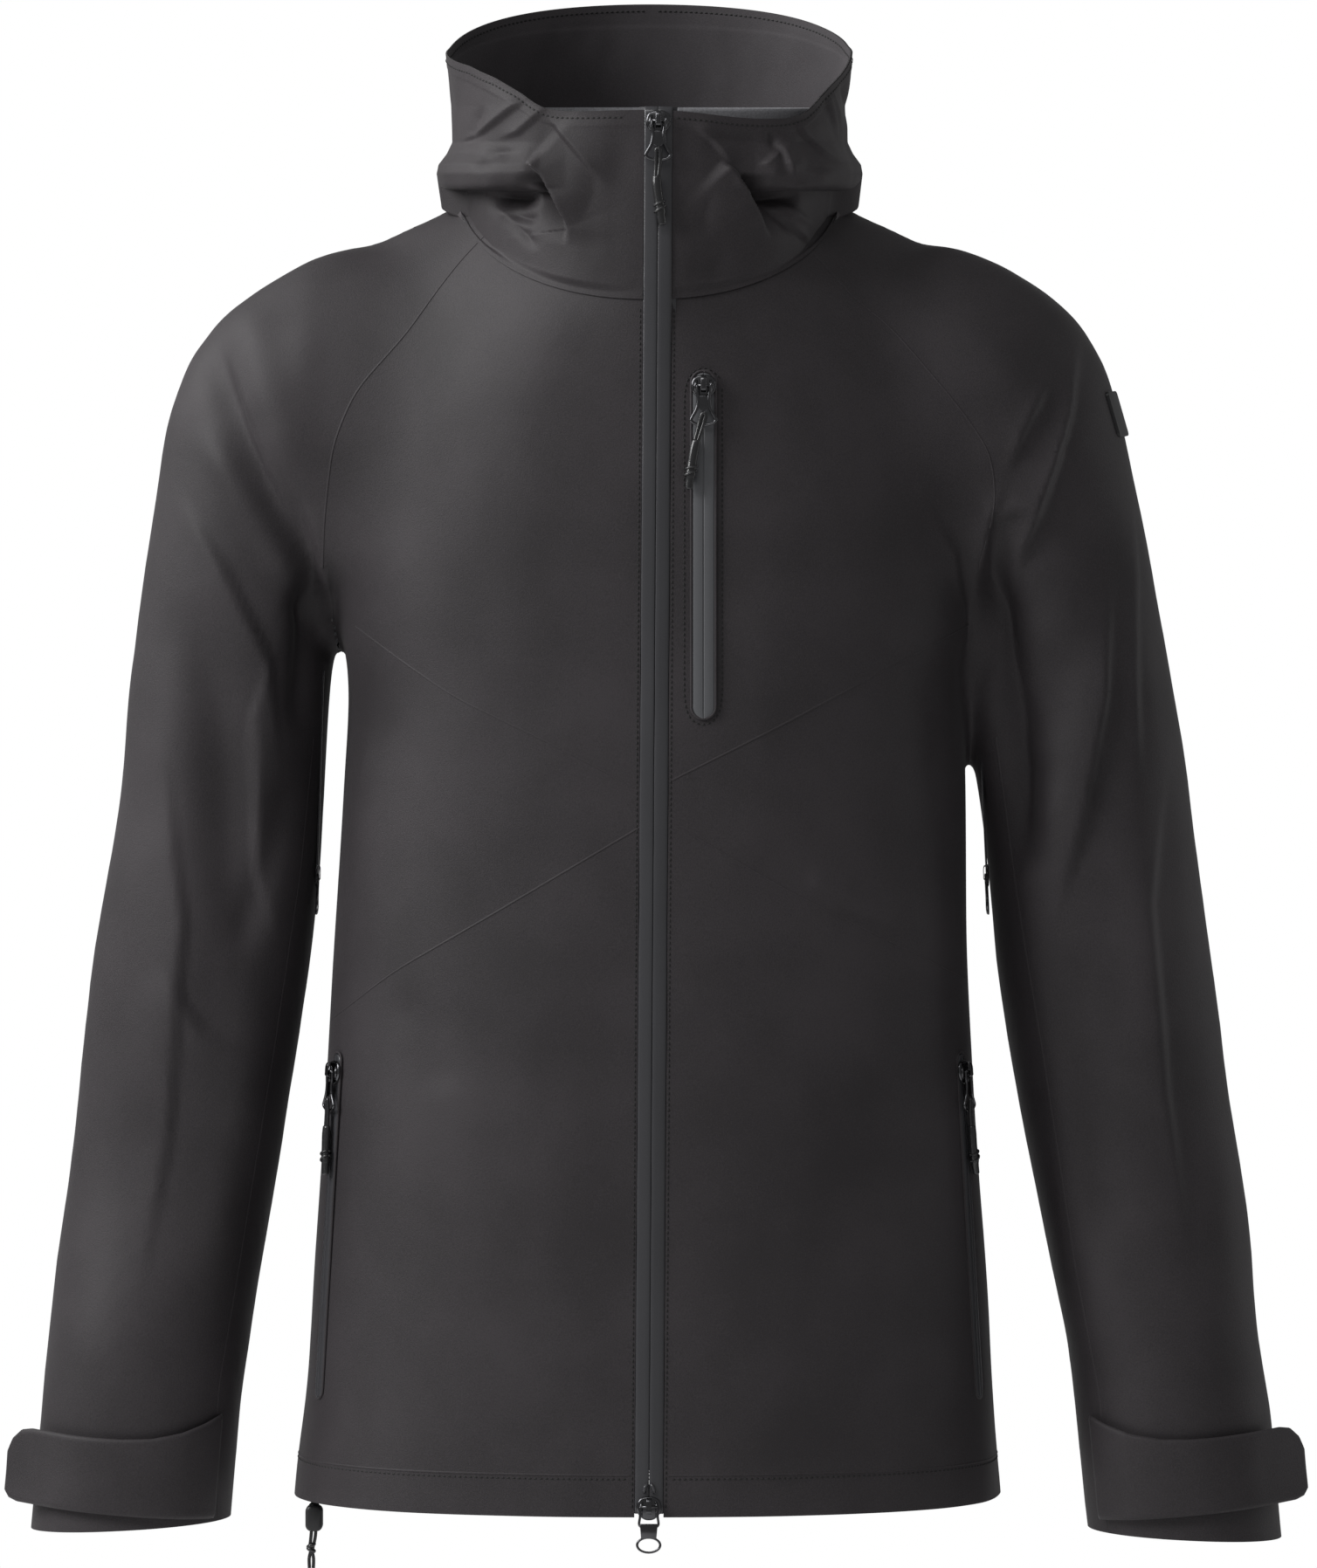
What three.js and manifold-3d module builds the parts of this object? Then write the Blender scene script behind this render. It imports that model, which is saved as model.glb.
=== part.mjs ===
// A hooded hardshell jacket, zipped up and standing as if worn, as an assembly of separate sewn panels,
// zips, sliders, pulls, cords, cuff tabs and a hem cord lock.
// Millimetres, +Z up, the front faces -Y. "right" and "left" are the wearer's, so right is -X.
// The jacket is drawn with its hem at z = 0 and moved so that the part's origin is the middle of the
// hanger loop's underside, where it hangs.
import * as THREE from "three";
import { LoftGeometry } from "three/addons/geometries/LoftGeometry.js";
import { mergeVertices } from "three/addons/utils/BufferGeometryUtils.js";
import Module from "manifold-3d";

const wasm = await Module();
wasm.setup();

// Driving dimensions
const FABRIC = 1.6; // wall of every shell panel
const SEAM = 0.5; // gap left along each seam
const FRONT_Y = -116; // front face at hem level
const FRONT_LEAN = 0.022; // the front leans back by this much for each mm of height
const SIDE_Y = 6; // the side seams' plane
const COLLAR_Z = 760; // top edge of the collar at the front
const NECK = { front: 659, side: 715, back: 706, half: 101, rear: 86 }; // neck seam
const RIM = { half: 112, rear: 84, top: 842 }; // edge of the hood's opening
const SHOULDER = { x: 241, z: 657 }; // outer end of the shoulder, where a sleeve swings
const ARMPIT = { x: 178, z: 500 };
const YOKE_Z = 560; // the back yoke's seam
const SPREAD = { right: 0, left: 8 }; // how much further out each cuff hangs
const UNDER_SLEEVE = 14; // how far the under-arm seam runs from the sleeve's inner edge
const HOOD_CENTRE = { half: 62, from: 10 }; // the hood's middle panel: half width, and the depth it starts at
const FAR = 500; // past everything, for cutting regions

// Body sections from the hem up: half width, depth of the back, and roundness of front and back.
const TORSO = [
  { z: 0, half: 197, back: 104, round: 2.3, backRound: 2.3 },
  { z: 50, half: 191, back: 104, round: 2.3, backRound: 2.3 },
  { z: 120, half: 187, back: 104, round: 2.3, backRound: 2.3 },
  { z: 200, half: 181.5, back: 105, round: 2.3, backRound: 2.3 },
  { z: 300, half: 176.5, back: 108, round: 2.3, backRound: 2.3 },
  { z: 400, half: 173, back: 114, round: 2.3, backRound: 2.3 },
  { z: 450, half: 172.5, back: 118, round: 2.4, backRound: 2.3 },
  { z: 500, half: 176, back: 120, round: 2.4, backRound: 2.3 },
  { z: 550, half: 183, back: 120, round: 2.2, backRound: 2.2 },
  { z: 600, half: 186, back: 116, round: 1.9, backRound: 2.0 },
  { z: 640, half: 184, back: 110, round: 1.55, backRound: 1.8 },
  { z: 670, half: 178, back: 103, round: 1.27, backRound: 1.55 },
  { z: 693, half: 156, back: 96, round: 1.03, backRound: 1.3 },
  { z: 716, half: 103, back: 88, round: 1.1, backRound: 1.3 },
];

// Sleeve sections from inside the shoulder to the cuff: the outer and the inner edge, and half the depth.
const SLEEVE = [
  { outer: [100, 655], inner: [100, 560], depth: 45 },
  { outer: [155, 693], inner: [140, 535], depth: 68 },
  { outer: [190, 685], inner: [162, 515], depth: 76 },
  { outer: [222, 670], inner: [175, 506], depth: 79 },
  { outer: [246, 650], inner: [179, 499], depth: 78 },
  { outer: [262, 618], inner: [181, 490], depth: 75 },
  { outer: [273, 580], inner: [182.5, 478], depth: 71 },
  { outer: [284, 500], inner: [183, 450], depth: 66 },
  { outer: [294, 410], inner: [184.2, 400], depth: 62 },
  { outer: [302, 345], inner: [186, 345], depth: 59 },
  { outer: [316, 248], inner: [197, 248], depth: 57 },
  { outer: [328, 150], inner: [213, 150], depth: 51 },
  { outer: [337, 75], inner: [227, 75], depth: 47 },
  { outer: [344.2, -17], inner: [233.4, -6], depth: 47 },
];
const SLEEVE_ROUND = 2.2;
const CUFF = { half: 55, depth: 47, tilt: 0.0786, x: 286.3, z: 20 };
const TORSO_STEPS = 28;
const SLEEVE_STEPS = 18;
const HOOD_STEPS = 24;

// Seams seen from the front, as (x, z) lines for the right side; the left side mirrors them.
const RAGLAN = [[92, 760], [94, 700], [115, 662], [138, 636], [164, 605], [177, 578], [181, 545]];
const CHEST_SEAM = [[0, 389], [5, 391], [106, 441], [157, 476], [177, 487]];
const WAIST_SEAM = [[0, 374], [5, 372], [86, 325], [138, 293], [172, 274], [185, 267]];
// Between the body's side and the sleeve, from the armpit down.
const BODY_SIDE = [[177.2, 500], [177, 450], [177.4, 400], [179.4, 345], [186.4, 248], [204, 60], [215, -60]];

// Zips: the tape's width, where it runs and how its slider is sized.
const MAIN_ZIP = { width: 14, top: 762, slant: 5.2 / 762 };
const RETAINER = 18; // height of the box and pin at the foot of the main zip
const CHEST_ZIP = { x: 29.5, bottom: 430, top: 617, width: 12 };
const HAND_ZIP = { top: [171, -41, 246], bottom: [181.5, -44, 57], width: 9 };
const PIT_ZIP = { top: 470, bottom: 322, width: 8 };
const TAPE = 1.2; // tape thickness
const RELEASE = 0.4; // gap between the main zip's tape and the fabric
const PROUD = 0.5; // a tape's face in front of the fabric

const HANGER = { width: 60, y: 70, z: 700, drop: 16 }; // middle and underside of the hanger loop

const part = new THREE.Group();
const jacket = new THREE.Group();
jacket.position.set(0, -HANGER.y, -HANGER.z);
part.add(jacket);

const side = { right: -1, left: 1 };
const lerp = THREE.MathUtils.lerp;
const degrees = THREE.MathUtils.degToRad;

const FABRIC_LOOK = { color: 0x454346, roughness: 0.85, metalness: 0 };
const LINING_LOOK = { color: 0x6f7074, roughness: 0.95, metalness: 0 };
const TAPE_LOOK = { color: 0x49484b, roughness: 0.45, metalness: 0 };
const GREY_TAPE_LOOK = { color: 0x66676a, roughness: 0.5, metalness: 0 };
const METAL_LOOK = { color: 0x1b1b1d, roughness: 0.3, metalness: 0.85 };
const CORD_LOOK = { color: 0x161617, roughness: 0.6, metalness: 0 };
const PLASTIC_LOOK = { color: 0x18181a, roughness: 0.4, metalness: 0 };
const HOOK_LOOK = { color: 0x2a292b, roughness: 1, metalness: 0 };

// ---- Solids ----

function solidOf(geometry) {
  const bare = new THREE.BufferGeometry();
  bare.setAttribute("position", geometry.getAttribute("position"));
  bare.setIndex(geometry.index);
  const merged = mergeVertices(bare, 1e-4);
  const vertProperties = new Float32Array(merged.attributes.position.array);
  const triVerts = new Uint32Array(merged.index.array);
  const make = () => new wasm.Manifold(new wasm.Mesh({ numProp: 3, vertProperties, triVerts }));
  const made = make();
  if (made.volume() >= 0) return made;
  for (let i = 0; i < triVerts.length; i += 3) {
    [triVerts[i + 1], triVerts[i + 2]] = [triVerts[i + 2], triVerts[i + 1]];
  }
  return make();
}

function geometryOf(solid) {
  const mesh = solid.getMesh();
  const geometry = new THREE.BufferGeometry();
  const positions = new Float32Array(mesh.numVert * 3);
  for (let i = 0; i < mesh.numVert; i += 1) {
    const from = i * mesh.numProp;
    positions.set(mesh.vertProperties.subarray(from, from + 3), i * 3);
  }
  geometry.setAttribute("position", new THREE.BufferAttribute(positions, 3));
  geometry.setIndex(new THREE.BufferAttribute(new Uint32Array(mesh.triVerts), 1));
  return geometry;
}

// The largest body of a solid, without the slivers that a cut can leave beside it.
function mainBody(solid) {
  const bodies = solid.decompose();
  bodies.sort((a, b) => b.volume() - a.volume());
  return bodies[0];
}

function addMesh(parent, name, geometry, look) {
  const mesh = new THREE.Mesh(geometry, new THREE.MeshStandardMaterial(look));
  mesh.name = name;
  mesh.geometry.computeVertexNormals();
  parent.add(mesh);
  return mesh;
}

function addSolid(parent, name, solid, look) {
  return addMesh(parent, name, geometryOf(mainBody(solid)), look);
}

const union = (solids) => solids.reduce((whole, next) => whole.add(next));

function loft(sections) {
  return solidOf(new LoftGeometry(sections, { capStart: true, capEnd: true }));
}

// A wall between two stacks of rings: up the outside, over the edge and down the inside.
function wall(outerRings, innerRings) {
  const rings = [...outerRings, ...[...innerRings].reverse(), outerRings[0]];
  return solidOf(new LoftGeometry(rings));
}

function box(width, depth, height, x, y, z) {
  return solidOf(new THREE.BoxGeometry(width, depth, height).translate(x, y, z));
}

function rod(radius, length, axis, x, y, z, steps = 12) {
  const geometry = new THREE.CylinderGeometry(radius, radius, length, steps);
  if (axis === "x") geometry.rotateZ(Math.PI / 2);
  if (axis === "z") geometry.rotateX(Math.PI / 2);
  return solidOf(geometry.translate(x, y, z));
}

function shapeOf(points) {
  return new THREE.Shape(points.map(([x, y]) => new THREE.Vector2(x, y)));
}

// A prism standing on an (x, z) outline, between two depths.
function prismXZ(points, nearY, farY) {
  const depth = farY - nearY;
  const geometry = new THREE.ExtrudeGeometry(shapeOf(points), { depth, bevelEnabled: false });
  return solidOf(geometry.rotateX(Math.PI / 2).translate(0, farY, 0));
}

// A prism standing on a (y, z) outline, right across the jacket.
function prismYZ(points) {
  const geometry = new THREE.ExtrudeGeometry(shapeOf(points), { depth: 2 * FAR, bevelEnabled: false });
  geometry.rotateX(Math.PI / 2).rotateZ(Math.PI / 2).translate(-FAR, 0, 0);
  return solidOf(geometry);
}

// A plate with an (x, z) outline and holes, between two depths.
function plate(outline, holes, nearY, farY) {
  outline.holes.push(...holes);
  const depth = farY - nearY;
  const geometry = new THREE.ExtrudeGeometry(outline, { depth, bevelEnabled: false, curveSegments: 3 });
  return solidOf(geometry.rotateX(Math.PI / 2).translate(0, farY, 0));
}

function roundedOutline(width, height, radius, middleX = 0, middleZ = 0, Kind = THREE.Shape) {
  const outline = new Kind();
  const x = width / 2 - radius;
  const z = height / 2 - radius;
  outline.absarc(middleX + x, middleZ + z, radius, 0, Math.PI / 2);
  outline.absarc(middleX - x, middleZ + z, radius, Math.PI / 2, Math.PI);
  outline.absarc(middleX - x, middleZ - z, radius, Math.PI, 1.5 * Math.PI);
  outline.absarc(middleX + x, middleZ - z, radius, 1.5 * Math.PI, 2 * Math.PI);
  return outline;
}

// A group whose +Z runs from base to top and whose -Y faces outward.
function frameGroup(base, top, outward) {
  const up = top.clone().sub(base).normalize();
  const back = outward.clone().negate();
  back.addScaledVector(up, -back.dot(up)).normalize();
  const across = new THREE.Vector3().crossVectors(back, up);
  const group = new THREE.Group();
  group.setRotationFromMatrix(new THREE.Matrix4().makeBasis(across, back, up));
  group.position.copy(base);
  jacket.add(group);
  return group;
}

// A solid written in a group's own frame, brought back to the jacket's.
function outOfGroup(solid, group) {
  group.updateMatrix();
  return solidOf(geometryOf(solid).applyMatrix4(group.matrix));
}

// ---- Body and sleeve shells ----

const frontY = (z) => FRONT_Y + FRONT_LEAN * z;

function roundPoint(angle, half, depth, round) {
  const c = Math.cos(angle);
  const s = Math.sin(angle);
  const x = Math.sign(c) * half * Math.abs(c) ** (2 / round);
  const y = Math.sign(s) * depth * Math.abs(s) ** (2 / round);
  return [x, y];
}

function torsoRing(station, inset) {
  const ring = [];
  for (let i = 0; i < TORSO_STEPS; i += 1) {
    const angle = ((i + 0.5) / TORSO_STEPS) * 2 * Math.PI;
    const rear = angle < Math.PI;
    const depth = (rear ? station.back : -frontY(station.z)) - inset;
    const round = rear ? station.backRound : station.round;
    const [x, y] = roundPoint(angle, station.half - inset, depth, round);
    ring.push(new THREE.Vector3(x, y, station.z - inset));
  }
  return ring;
}

function torsoSolid(inset) {
  const rings = TORSO.map((station) => torsoRing(station, inset));
  if (inset === 0) return loft(rings);
  const below = rings[0].map((p) => new THREE.Vector3(p.x, p.y, -FAR / 10));
  return loft([below, ...rings]);
}

function sleeveEdges(station, which, inset) {
  const spread = (z) => SPREAD[which] * THREE.MathUtils.clamp((560 - z) / 560, 0, 1);
  const outer = new THREE.Vector2(station.outer[0] + spread(station.outer[1]), station.outer[1]);
  const inner = new THREE.Vector2(station.inner[0] + spread(station.inner[1]), station.inner[1]);
  const inward = inner.clone().sub(outer).normalize().multiplyScalar(inset);
  return [outer.add(inward), inner.sub(inward)];
}

function sleeveRing(station, which, inset) {
  const [outer, inner] = sleeveEdges(station, which, inset);
  const middle = outer.clone().add(inner).multiplyScalar(0.5);
  const arm = outer.clone().sub(middle);
  const ring = [];
  for (let i = 0; i < SLEEVE_STEPS; i += 1) {
    const angle = (i / SLEEVE_STEPS) * 2 * Math.PI;
    const [along, y] = roundPoint(angle, 1, station.depth - inset, SLEEVE_ROUND);
    const x = middle.x + arm.x * along;
    ring.push(new THREE.Vector3(side[which] * x, y, middle.y + arm.y * along));
  }
  return which === "right" ? ring : ring.reverse();
}

function sleeveSolid(which, inset) {
  const rings = SLEEVE.map((station) => sleeveRing(station, which, inset));
  if (inset === 0) return loft(rings);
  const last = rings[rings.length - 1];
  const below = last.map((p) => new THREE.Vector3(p.x, p.y, p.z - FAR / 10));
  return loft([...rings, below]);
}

// ---- Hood ----

// A point of the hood's outer face: turn 0 is the front, up runs from the neck seam to the opening's edge.
// The collar lining stands straight up inside the hood's swell, so its fullness is 0.
function hoodPoint(turn, up, inset, fullness) {
  const rear = Math.cos(turn) < 0;
  const ease = Math.sin(turn) ** 2;
  const bottom = new THREE.Vector3(
    NECK.half * Math.sin(turn),
    (rear ? NECK.rear : -frontY(NECK.front)) * -Math.cos(turn),
    0,
  );
  bottom.z = neckZ(bottom.y);
  const past = THREE.MathUtils.clamp((Math.abs(turn) - degrees(30)) / degrees(150), 0, 1);
  const rise = (past + Math.sin((past * Math.PI) / 2)) / 2;
  const top = new THREE.Vector3(
    RIM.half * Math.sin(turn),
    (rear ? RIM.rear : -frontY(COLLAR_Z)) * -Math.cos(turn),
    lerp(COLLAR_Z, RIM.top, rise),
  );
  const point = bottom.lerp(top, up);
  const out = new THREE.Vector2(point.x, point.y).normalize();
  const swell = up > 0 ? Math.sin(Math.PI * up ** 0.6) : 0;
  const bulge = fullness * swell * (10 * ease + (rear ? 42 * Math.cos(turn) ** 2 : 0)) - inset;
  point.x += out.x * bulge;
  point.y += out.y * bulge;
  return point;
}

function neckZ(y) {
  if (y > 0) return lerp(NECK.side, NECK.back, y / NECK.rear);
  return lerp(NECK.side, NECK.front, y / frontY(NECK.front));
}

function hoodRings(inset, from, to, count, fullness) {
  const rings = [];
  for (let i = 0; i <= count; i += 1) {
    const up = lerp(from, to, i / count);
    const ring = [];
    for (let j = 0; j < HOOD_STEPS; j += 1) {
      const turn = (0.5 - (j + 0.5) / HOOD_STEPS) * 2 * Math.PI;
      ring.push(hoodPoint(turn, up, inset, fullness));
    }
    rings.push(ring);
  }
  return rings;
}

// ---- Shell panels ----

const mirrorX = (points, which) => points.map(([x, z]) => [side[which] * x, z]);

// The line between a sleeve and the rest: up beside the body, through the armpit and over the shoulder.
function sleeveBorder(shift) {
  const over = new THREE.Vector2(SHOULDER.x - ARMPIT.x, SHOULDER.z - ARMPIT.z).normalize();
  const away = new THREE.Vector2(over.y, -over.x).multiplyScalar(shift);
  const pit = [ARMPIT.x + away.x, ARMPIT.z + away.y];
  const end = [SHOULDER.x + 60 * over.x + away.x, SHOULDER.z + 60 * over.y + away.y];
  const down = BODY_SIDE.slice(1).map(([x, z]) => [x + SEAM, z]);
  return [...down.reverse(), pit, end];
}

function sleeveRegion(which) {
  const border = sleeveBorder(SEAM / 2);
  const corner = [[FAR, border[border.length - 1][1]], [FAR, border[0][1]]];
  return prismXZ(mirrorX([...border, ...corner], which), -FAR, FAR);
}

function shoulderRegion(which) {
  const over = sleeveBorder(-SEAM / 2).slice(-2);
  const seam = RAGLAN.map(([x, z]) => [x + SEAM / 2, z]);
  return prismXZ(mirrorX([...over, [130, 790], ...seam], which), -FAR, FAR);
}

const lift = (points, by) => points.map(([x, z]) => [x, z + by]);

// A region over the neck seam, or under it.
function neckRegion(above) {
  const gap = above ? SEAM / 2 : -SEAM / 2;
  const seam = [-200, frontY(NECK.front), 0, NECK.rear, 200].map((y) => [y, neckZ(y) + gap]);
  const z = above ? FAR * 2 : -FAR;
  return prismYZ([...seam, [200, z], [-200, z]]);
}

function mainZipSlot(half) {
  const slot = box(2 * half, 90, 4 * FAR, 0, 0, 0);
  const turned = geometryOf(slot).rotateY(Math.atan(MAIN_ZIP.slant));
  return solidOf(turned.translate(0, FRONT_Y + 20, 0));
}

function shellPanels() {
  const outer = union([torsoSolid(0), sleeveSolid("right", 0), sleeveSolid("left", 0)]);
  const inner = union([torsoSolid(FABRIC), sleeveSolid("right", FABRIC), sleeveSolid("left", FABRIC)]);
  const shell = outer.subtract(inner).intersect(neckRegion(false));
  const front = shell.intersect(box(2 * FAR, FAR, 2 * FAR, 0, SIDE_Y - SEAM / 2 - FAR / 2, 500));
  const back = shell.intersect(box(2 * FAR, FAR, 2 * FAR, 0, SIDE_Y + SEAM / 2 + FAR / 2, 500));
  const open = front.subtract(mainZipSlot(MAIN_ZIP.width / 2 + RELEASE));

  for (const which of ["right", "left"]) {
    const outlines = frontOutlines(which);
    let chest = open.intersect(outlines.chest);
    if (which === "left") chest = chest.subtract(chestZipSlot());
    const hem = open.intersect(outlines.hem).subtract(handZipSlot(which));
    addSolid(jacket, `front_chest_${which}`, chest, FABRIC_LOOK);
    addSolid(jacket, `front_waist_${which}`, open.intersect(outlines.waist), FABRIC_LOOK);
    addSolid(jacket, `front_hem_${which}`, hem, FABRIC_LOOK);
    addSolid(jacket, `shoulder_${which}`, shell.intersect(shoulderRegion(which)), FABRIC_LOOK);
    addSleeve(which, shell.intersect(sleeveRegion(which)));
  }

  const half = [...[...BODY_SIDE].reverse(), ...[...raglanEdge()].reverse()];
  const other = [...half].reverse().map(([x, z]) => [-x, z]);
  const torsoBack = back.intersect(prismXZ([...half, ...other], -FAR, FAR));
  addSolid(jacket, "back_yoke", torsoBack.intersect(above(YOKE_Z + SEAM / 2)), FABRIC_LOOK);
  addSolid(jacket, "back_body", torsoBack.intersect(below(YOKE_Z - SEAM / 2)), FABRIC_LOOK);
}

const raglanEdge = () => RAGLAN.map(([x, z]) => [x - SEAM / 2, z]);

// The regions of the three panels of one front: over, between and under its two slanting seams.
function frontOutlines(which) {
  const region = (points) => prismXZ(mirrorX(points, which), -FAR, FAR);
  const turned = (points) => [...points].reverse();
  const overChest = lift(CHEST_SEAM, SEAM / 2);
  const underChest = lift(CHEST_SEAM, -SEAM / 2);
  const overWaist = lift(WAIST_SEAM, SEAM / 2);
  const underWaist = lift(WAIST_SEAM, -SEAM / 2);
  const flank = BODY_SIDE.slice(1, 4);
  const low = BODY_SIDE.slice(4);
  return {
    chest: region([...overChest, BODY_SIDE[0], ...turned(raglanEdge()), [0, 800]]),
    waist: region([...overWaist, ...turned(flank), ...turned(underChest)]),
    hem: region([[0, -60], ...underWaist, ...low]),
  };
}

const above = (z) => box(2 * FAR, 2 * FAR, FAR, 0, 0, z + FAR / 2);
const below = (z) => box(2 * FAR, 2 * FAR, FAR * 2, 0, 0, z - FAR);

// The narrow panel under the arm, and the rest of the sleeve.
function addSleeve(which, sleeve) {
  const inner = SLEEVE.slice(4).map((station) => sleeveEdges(station, which, 0)[1]);
  const seam = inner.map((p) => [p.x + UNDER_SLEEVE, p.y]);
  seam[0] = [ARMPIT.x + 6, ARMPIT.z + 40];
  seam.push([seam[seam.length - 1][0] + 2, -60]);
  const inside = [[150, -60], [150, ARMPIT.z + 40]];
  const under = prismXZ(mirrorX([...seam.map(([x, z]) => [x - SEAM / 2, z]), ...inside], which), -FAR, FAR);
  const keep = prismXZ(mirrorX([...seam.map(([x, z]) => [x + SEAM / 2, z]), ...inside], which), -FAR, FAR);
  const slot = pitZipSlot(which);
  addSolid(jacket, `under_sleeve_${which}`, sleeve.intersect(under).subtract(slot), FABRIC_LOOK);
  addSolid(jacket, `sleeve_${which}`, sleeve.subtract(keep), FABRIC_LOOK);
}

function hoodPanels() {
  const shell = wall(hoodRings(0, -0.12, 1, 7, 1), hoodRings(FABRIC, -0.12, 1, 7, 1));
  const hood = shell.intersect(neckRegion(true)).subtract(mainZipSlot(MAIN_ZIP.width / 2 + RELEASE));
  const wide = 2 * HOOD_CENTRE.half;
  const behind = box(wide, FAR, 2 * FAR, 0, FAR / 2 + HOOD_CENTRE.from, 600);
  const keep = box(wide + 2 * SEAM, FAR, 2 * FAR, 0, FAR / 2 + HOOD_CENTRE.from - SEAM, 600);
  addSolid(jacket, "hood_centre", hood.intersect(behind), FABRIC_LOOK);
  const sides = hood.subtract(keep);
  for (const which of ["right", "left"]) {
    const half = box(FAR, 2 * FAR, 2 * FAR, side[which] * (FAR / 2), 0, 600);
    addSolid(jacket, `hood_side_${which}`, sides.intersect(half), FABRIC_LOOK);
  }
  const gap = FABRIC + 0.7;
  const lining = wall(hoodRings(gap, 0.06, 0.9, 3, 0), hoodRings(gap + 1.2, 0.06, 0.9, 3, 0));
  const low = lining.intersect(below(COLLAR_Z - 5)).intersect(neckRegion(true));
  addSolid(jacket, "collar_lining", low.subtract(mainZipSlot(MAIN_ZIP.width / 2 + 4)), LINING_LOOK);
}

// ---- Zips ----

// A slider with the bridge that its pull hangs from; it stands on the tape, at the group's origin.
const SLIDER = { width: 10.5, height: 12.5, thick: 1.9, bridge: 2.5, reach: 6.8, bar: 1.2 };
const PIVOT = { y: 4.1, z: 1.0 }; // the pull's bar, out from the tape's face and up from the middle

function sliderSolid(tapeFace) {
  const s = SLIDER;
  const outline = new THREE.Shape();
  outline.moveTo(-s.width / 2 + 2, -s.height / 2);
  outline.lineTo(s.width / 2 - 2, -s.height / 2);
  outline.lineTo(s.width / 2 - 1, 0);
  outline.lineTo(s.width / 2, s.height / 2 - 3);
  outline.quadraticCurveTo(s.width / 2, s.height / 2, 0, s.height / 2);
  outline.quadraticCurveTo(-s.width / 2, s.height / 2, -s.width / 2, s.height / 2 - 3);
  outline.lineTo(-s.width / 2 + 1, 0);
  const near = -tapeFace - 0.35;
  const body = plate(outline, [], near - s.thick, near);
  const top = box(s.bridge, s.bar, 8.6, 0, -s.reach + s.bar / 2, 1);
  const legHeight = s.reach - tapeFace - 0.8;
  const legY = -s.reach + legHeight / 2;
  const upper = box(s.bridge, legHeight, s.bar, 0, legY, 4.7);
  const lower = box(s.bridge, legHeight, s.bar, 0, legY, -2.7);
  return union([body, top, upper, lower]);
}

// The pull hangs from its round bar, with a window that clears the bridge and an eye at its end.
function pullSolid(length, eye) {
  const wide = 7.4;
  const thick = 1.4;
  const outline = new THREE.Shape();
  const top = PIVOT.z;
  outline.moveTo(-wide / 2, top);
  outline.lineTo(-wide / 2, top - 8);
  outline.lineTo(-wide / 2 + 0.9, top - length + 4);
  outline.absarc(0, top - length + wide / 2, wide / 2 - 0.3, Math.PI, 2 * Math.PI);
  outline.lineTo(wide / 2 - 0.9, top - length + 4);
  outline.lineTo(wide / 2, top - 8);
  outline.lineTo(wide / 2, top);
  const window = new THREE.Path();
  window.moveTo(-2, top);
  window.lineTo(2, top);
  window.lineTo(2, top - 7);
  window.lineTo(-2, top - 7);
  const hole = roundedOutline(eye.width, eye.height, eye.width / 2 - 0.01, 0, eye.z, THREE.Path);
  const shapeY = -PIVOT.y;
  const arms = plate(outline, [hole], shapeY - thick / 2, shapeY + thick / 2);
  const opening = box(4, 3, 7.2, 0, shapeY, top - 3.4);
  const bar = rod(0.75, wide, "x", 0, shapeY, top, 8);
  return arms.subtract(opening).add(bar);
}

// A cord threaded through a pull's eye: a loop, a moulded grip and a knot under it.
function cordSolid(eyeZ, drop, grip) {
  const r = 0.72;
  const y = -PIVOT.y;
  const strand = (out) => {
    return [[0, y + out * 1.7, eyeZ - 2.1], [0, y + out * 1.75, eyeZ - 5], [0, y + out, eyeZ - drop]];
  };
  const points = [...strand(-1).reverse(), [0, y, eyeZ - 0.9], ...strand(1)];
  const path = new THREE.CatmullRomCurve3(points.map((p) => new THREE.Vector3(...p)));
  const section = new THREE.Shape().absarc(0, 0, r, 0, 2 * Math.PI);
  const options = { steps: 14, extrudePath: path, curveSegments: 2 };
  const loop = solidOf(new THREE.ExtrudeGeometry(section, options));
  const profile = [[0, 0], [1.5, 0.6], [2.3, 3], [2.1, grip * 0.5], [2.5, grip * 0.62], [1.9, grip * 0.7],
    [2.4, grip * 0.78], [1.7, grip * 0.86], [1.5, grip - 0.6], [0, grip]];
  const lathe = new THREE.LatheGeometry(profile.map(([a, b]) => new THREE.Vector2(a, -b)), 8);
  const body = solidOf(lathe.rotateX(Math.PI / 2).translate(0, y, eyeZ - drop + 2));
  return loop.add(body);
}

// A slider, its pull and its cord, each in its own nested group, at a height along the zip.
function addPullSet(parent, prefix, height, tapeFace, pull, cord) {
  const group = new THREE.Group();
  group.position.set(0, 0, height);
  parent.add(group);
  addSolid(group, `${prefix}_slider`, sliderSolid(tapeFace), METAL_LOOK);
  const eye = { width: 4.4, height: 5, z: PIVOT.z - pull.length + 4.3 };
  addSolid(group, `${prefix}_pull`, pullSolid(pull.length, eye), METAL_LOOK);
  if (!cord) return;
  const swing = new THREE.Group();
  swing.position.set(0, 0, eye.z);
  swing.rotation.y = degrees(cord.lean);
  group.add(swing);
  addSolid(swing, `${prefix}_cord`, cordSolid(0, cord.drop, cord.grip), CORD_LOOK);
}

const zipPoint = (z) => new THREE.Vector3(MAIN_ZIP.slant * z, frontY(z), z);

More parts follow.
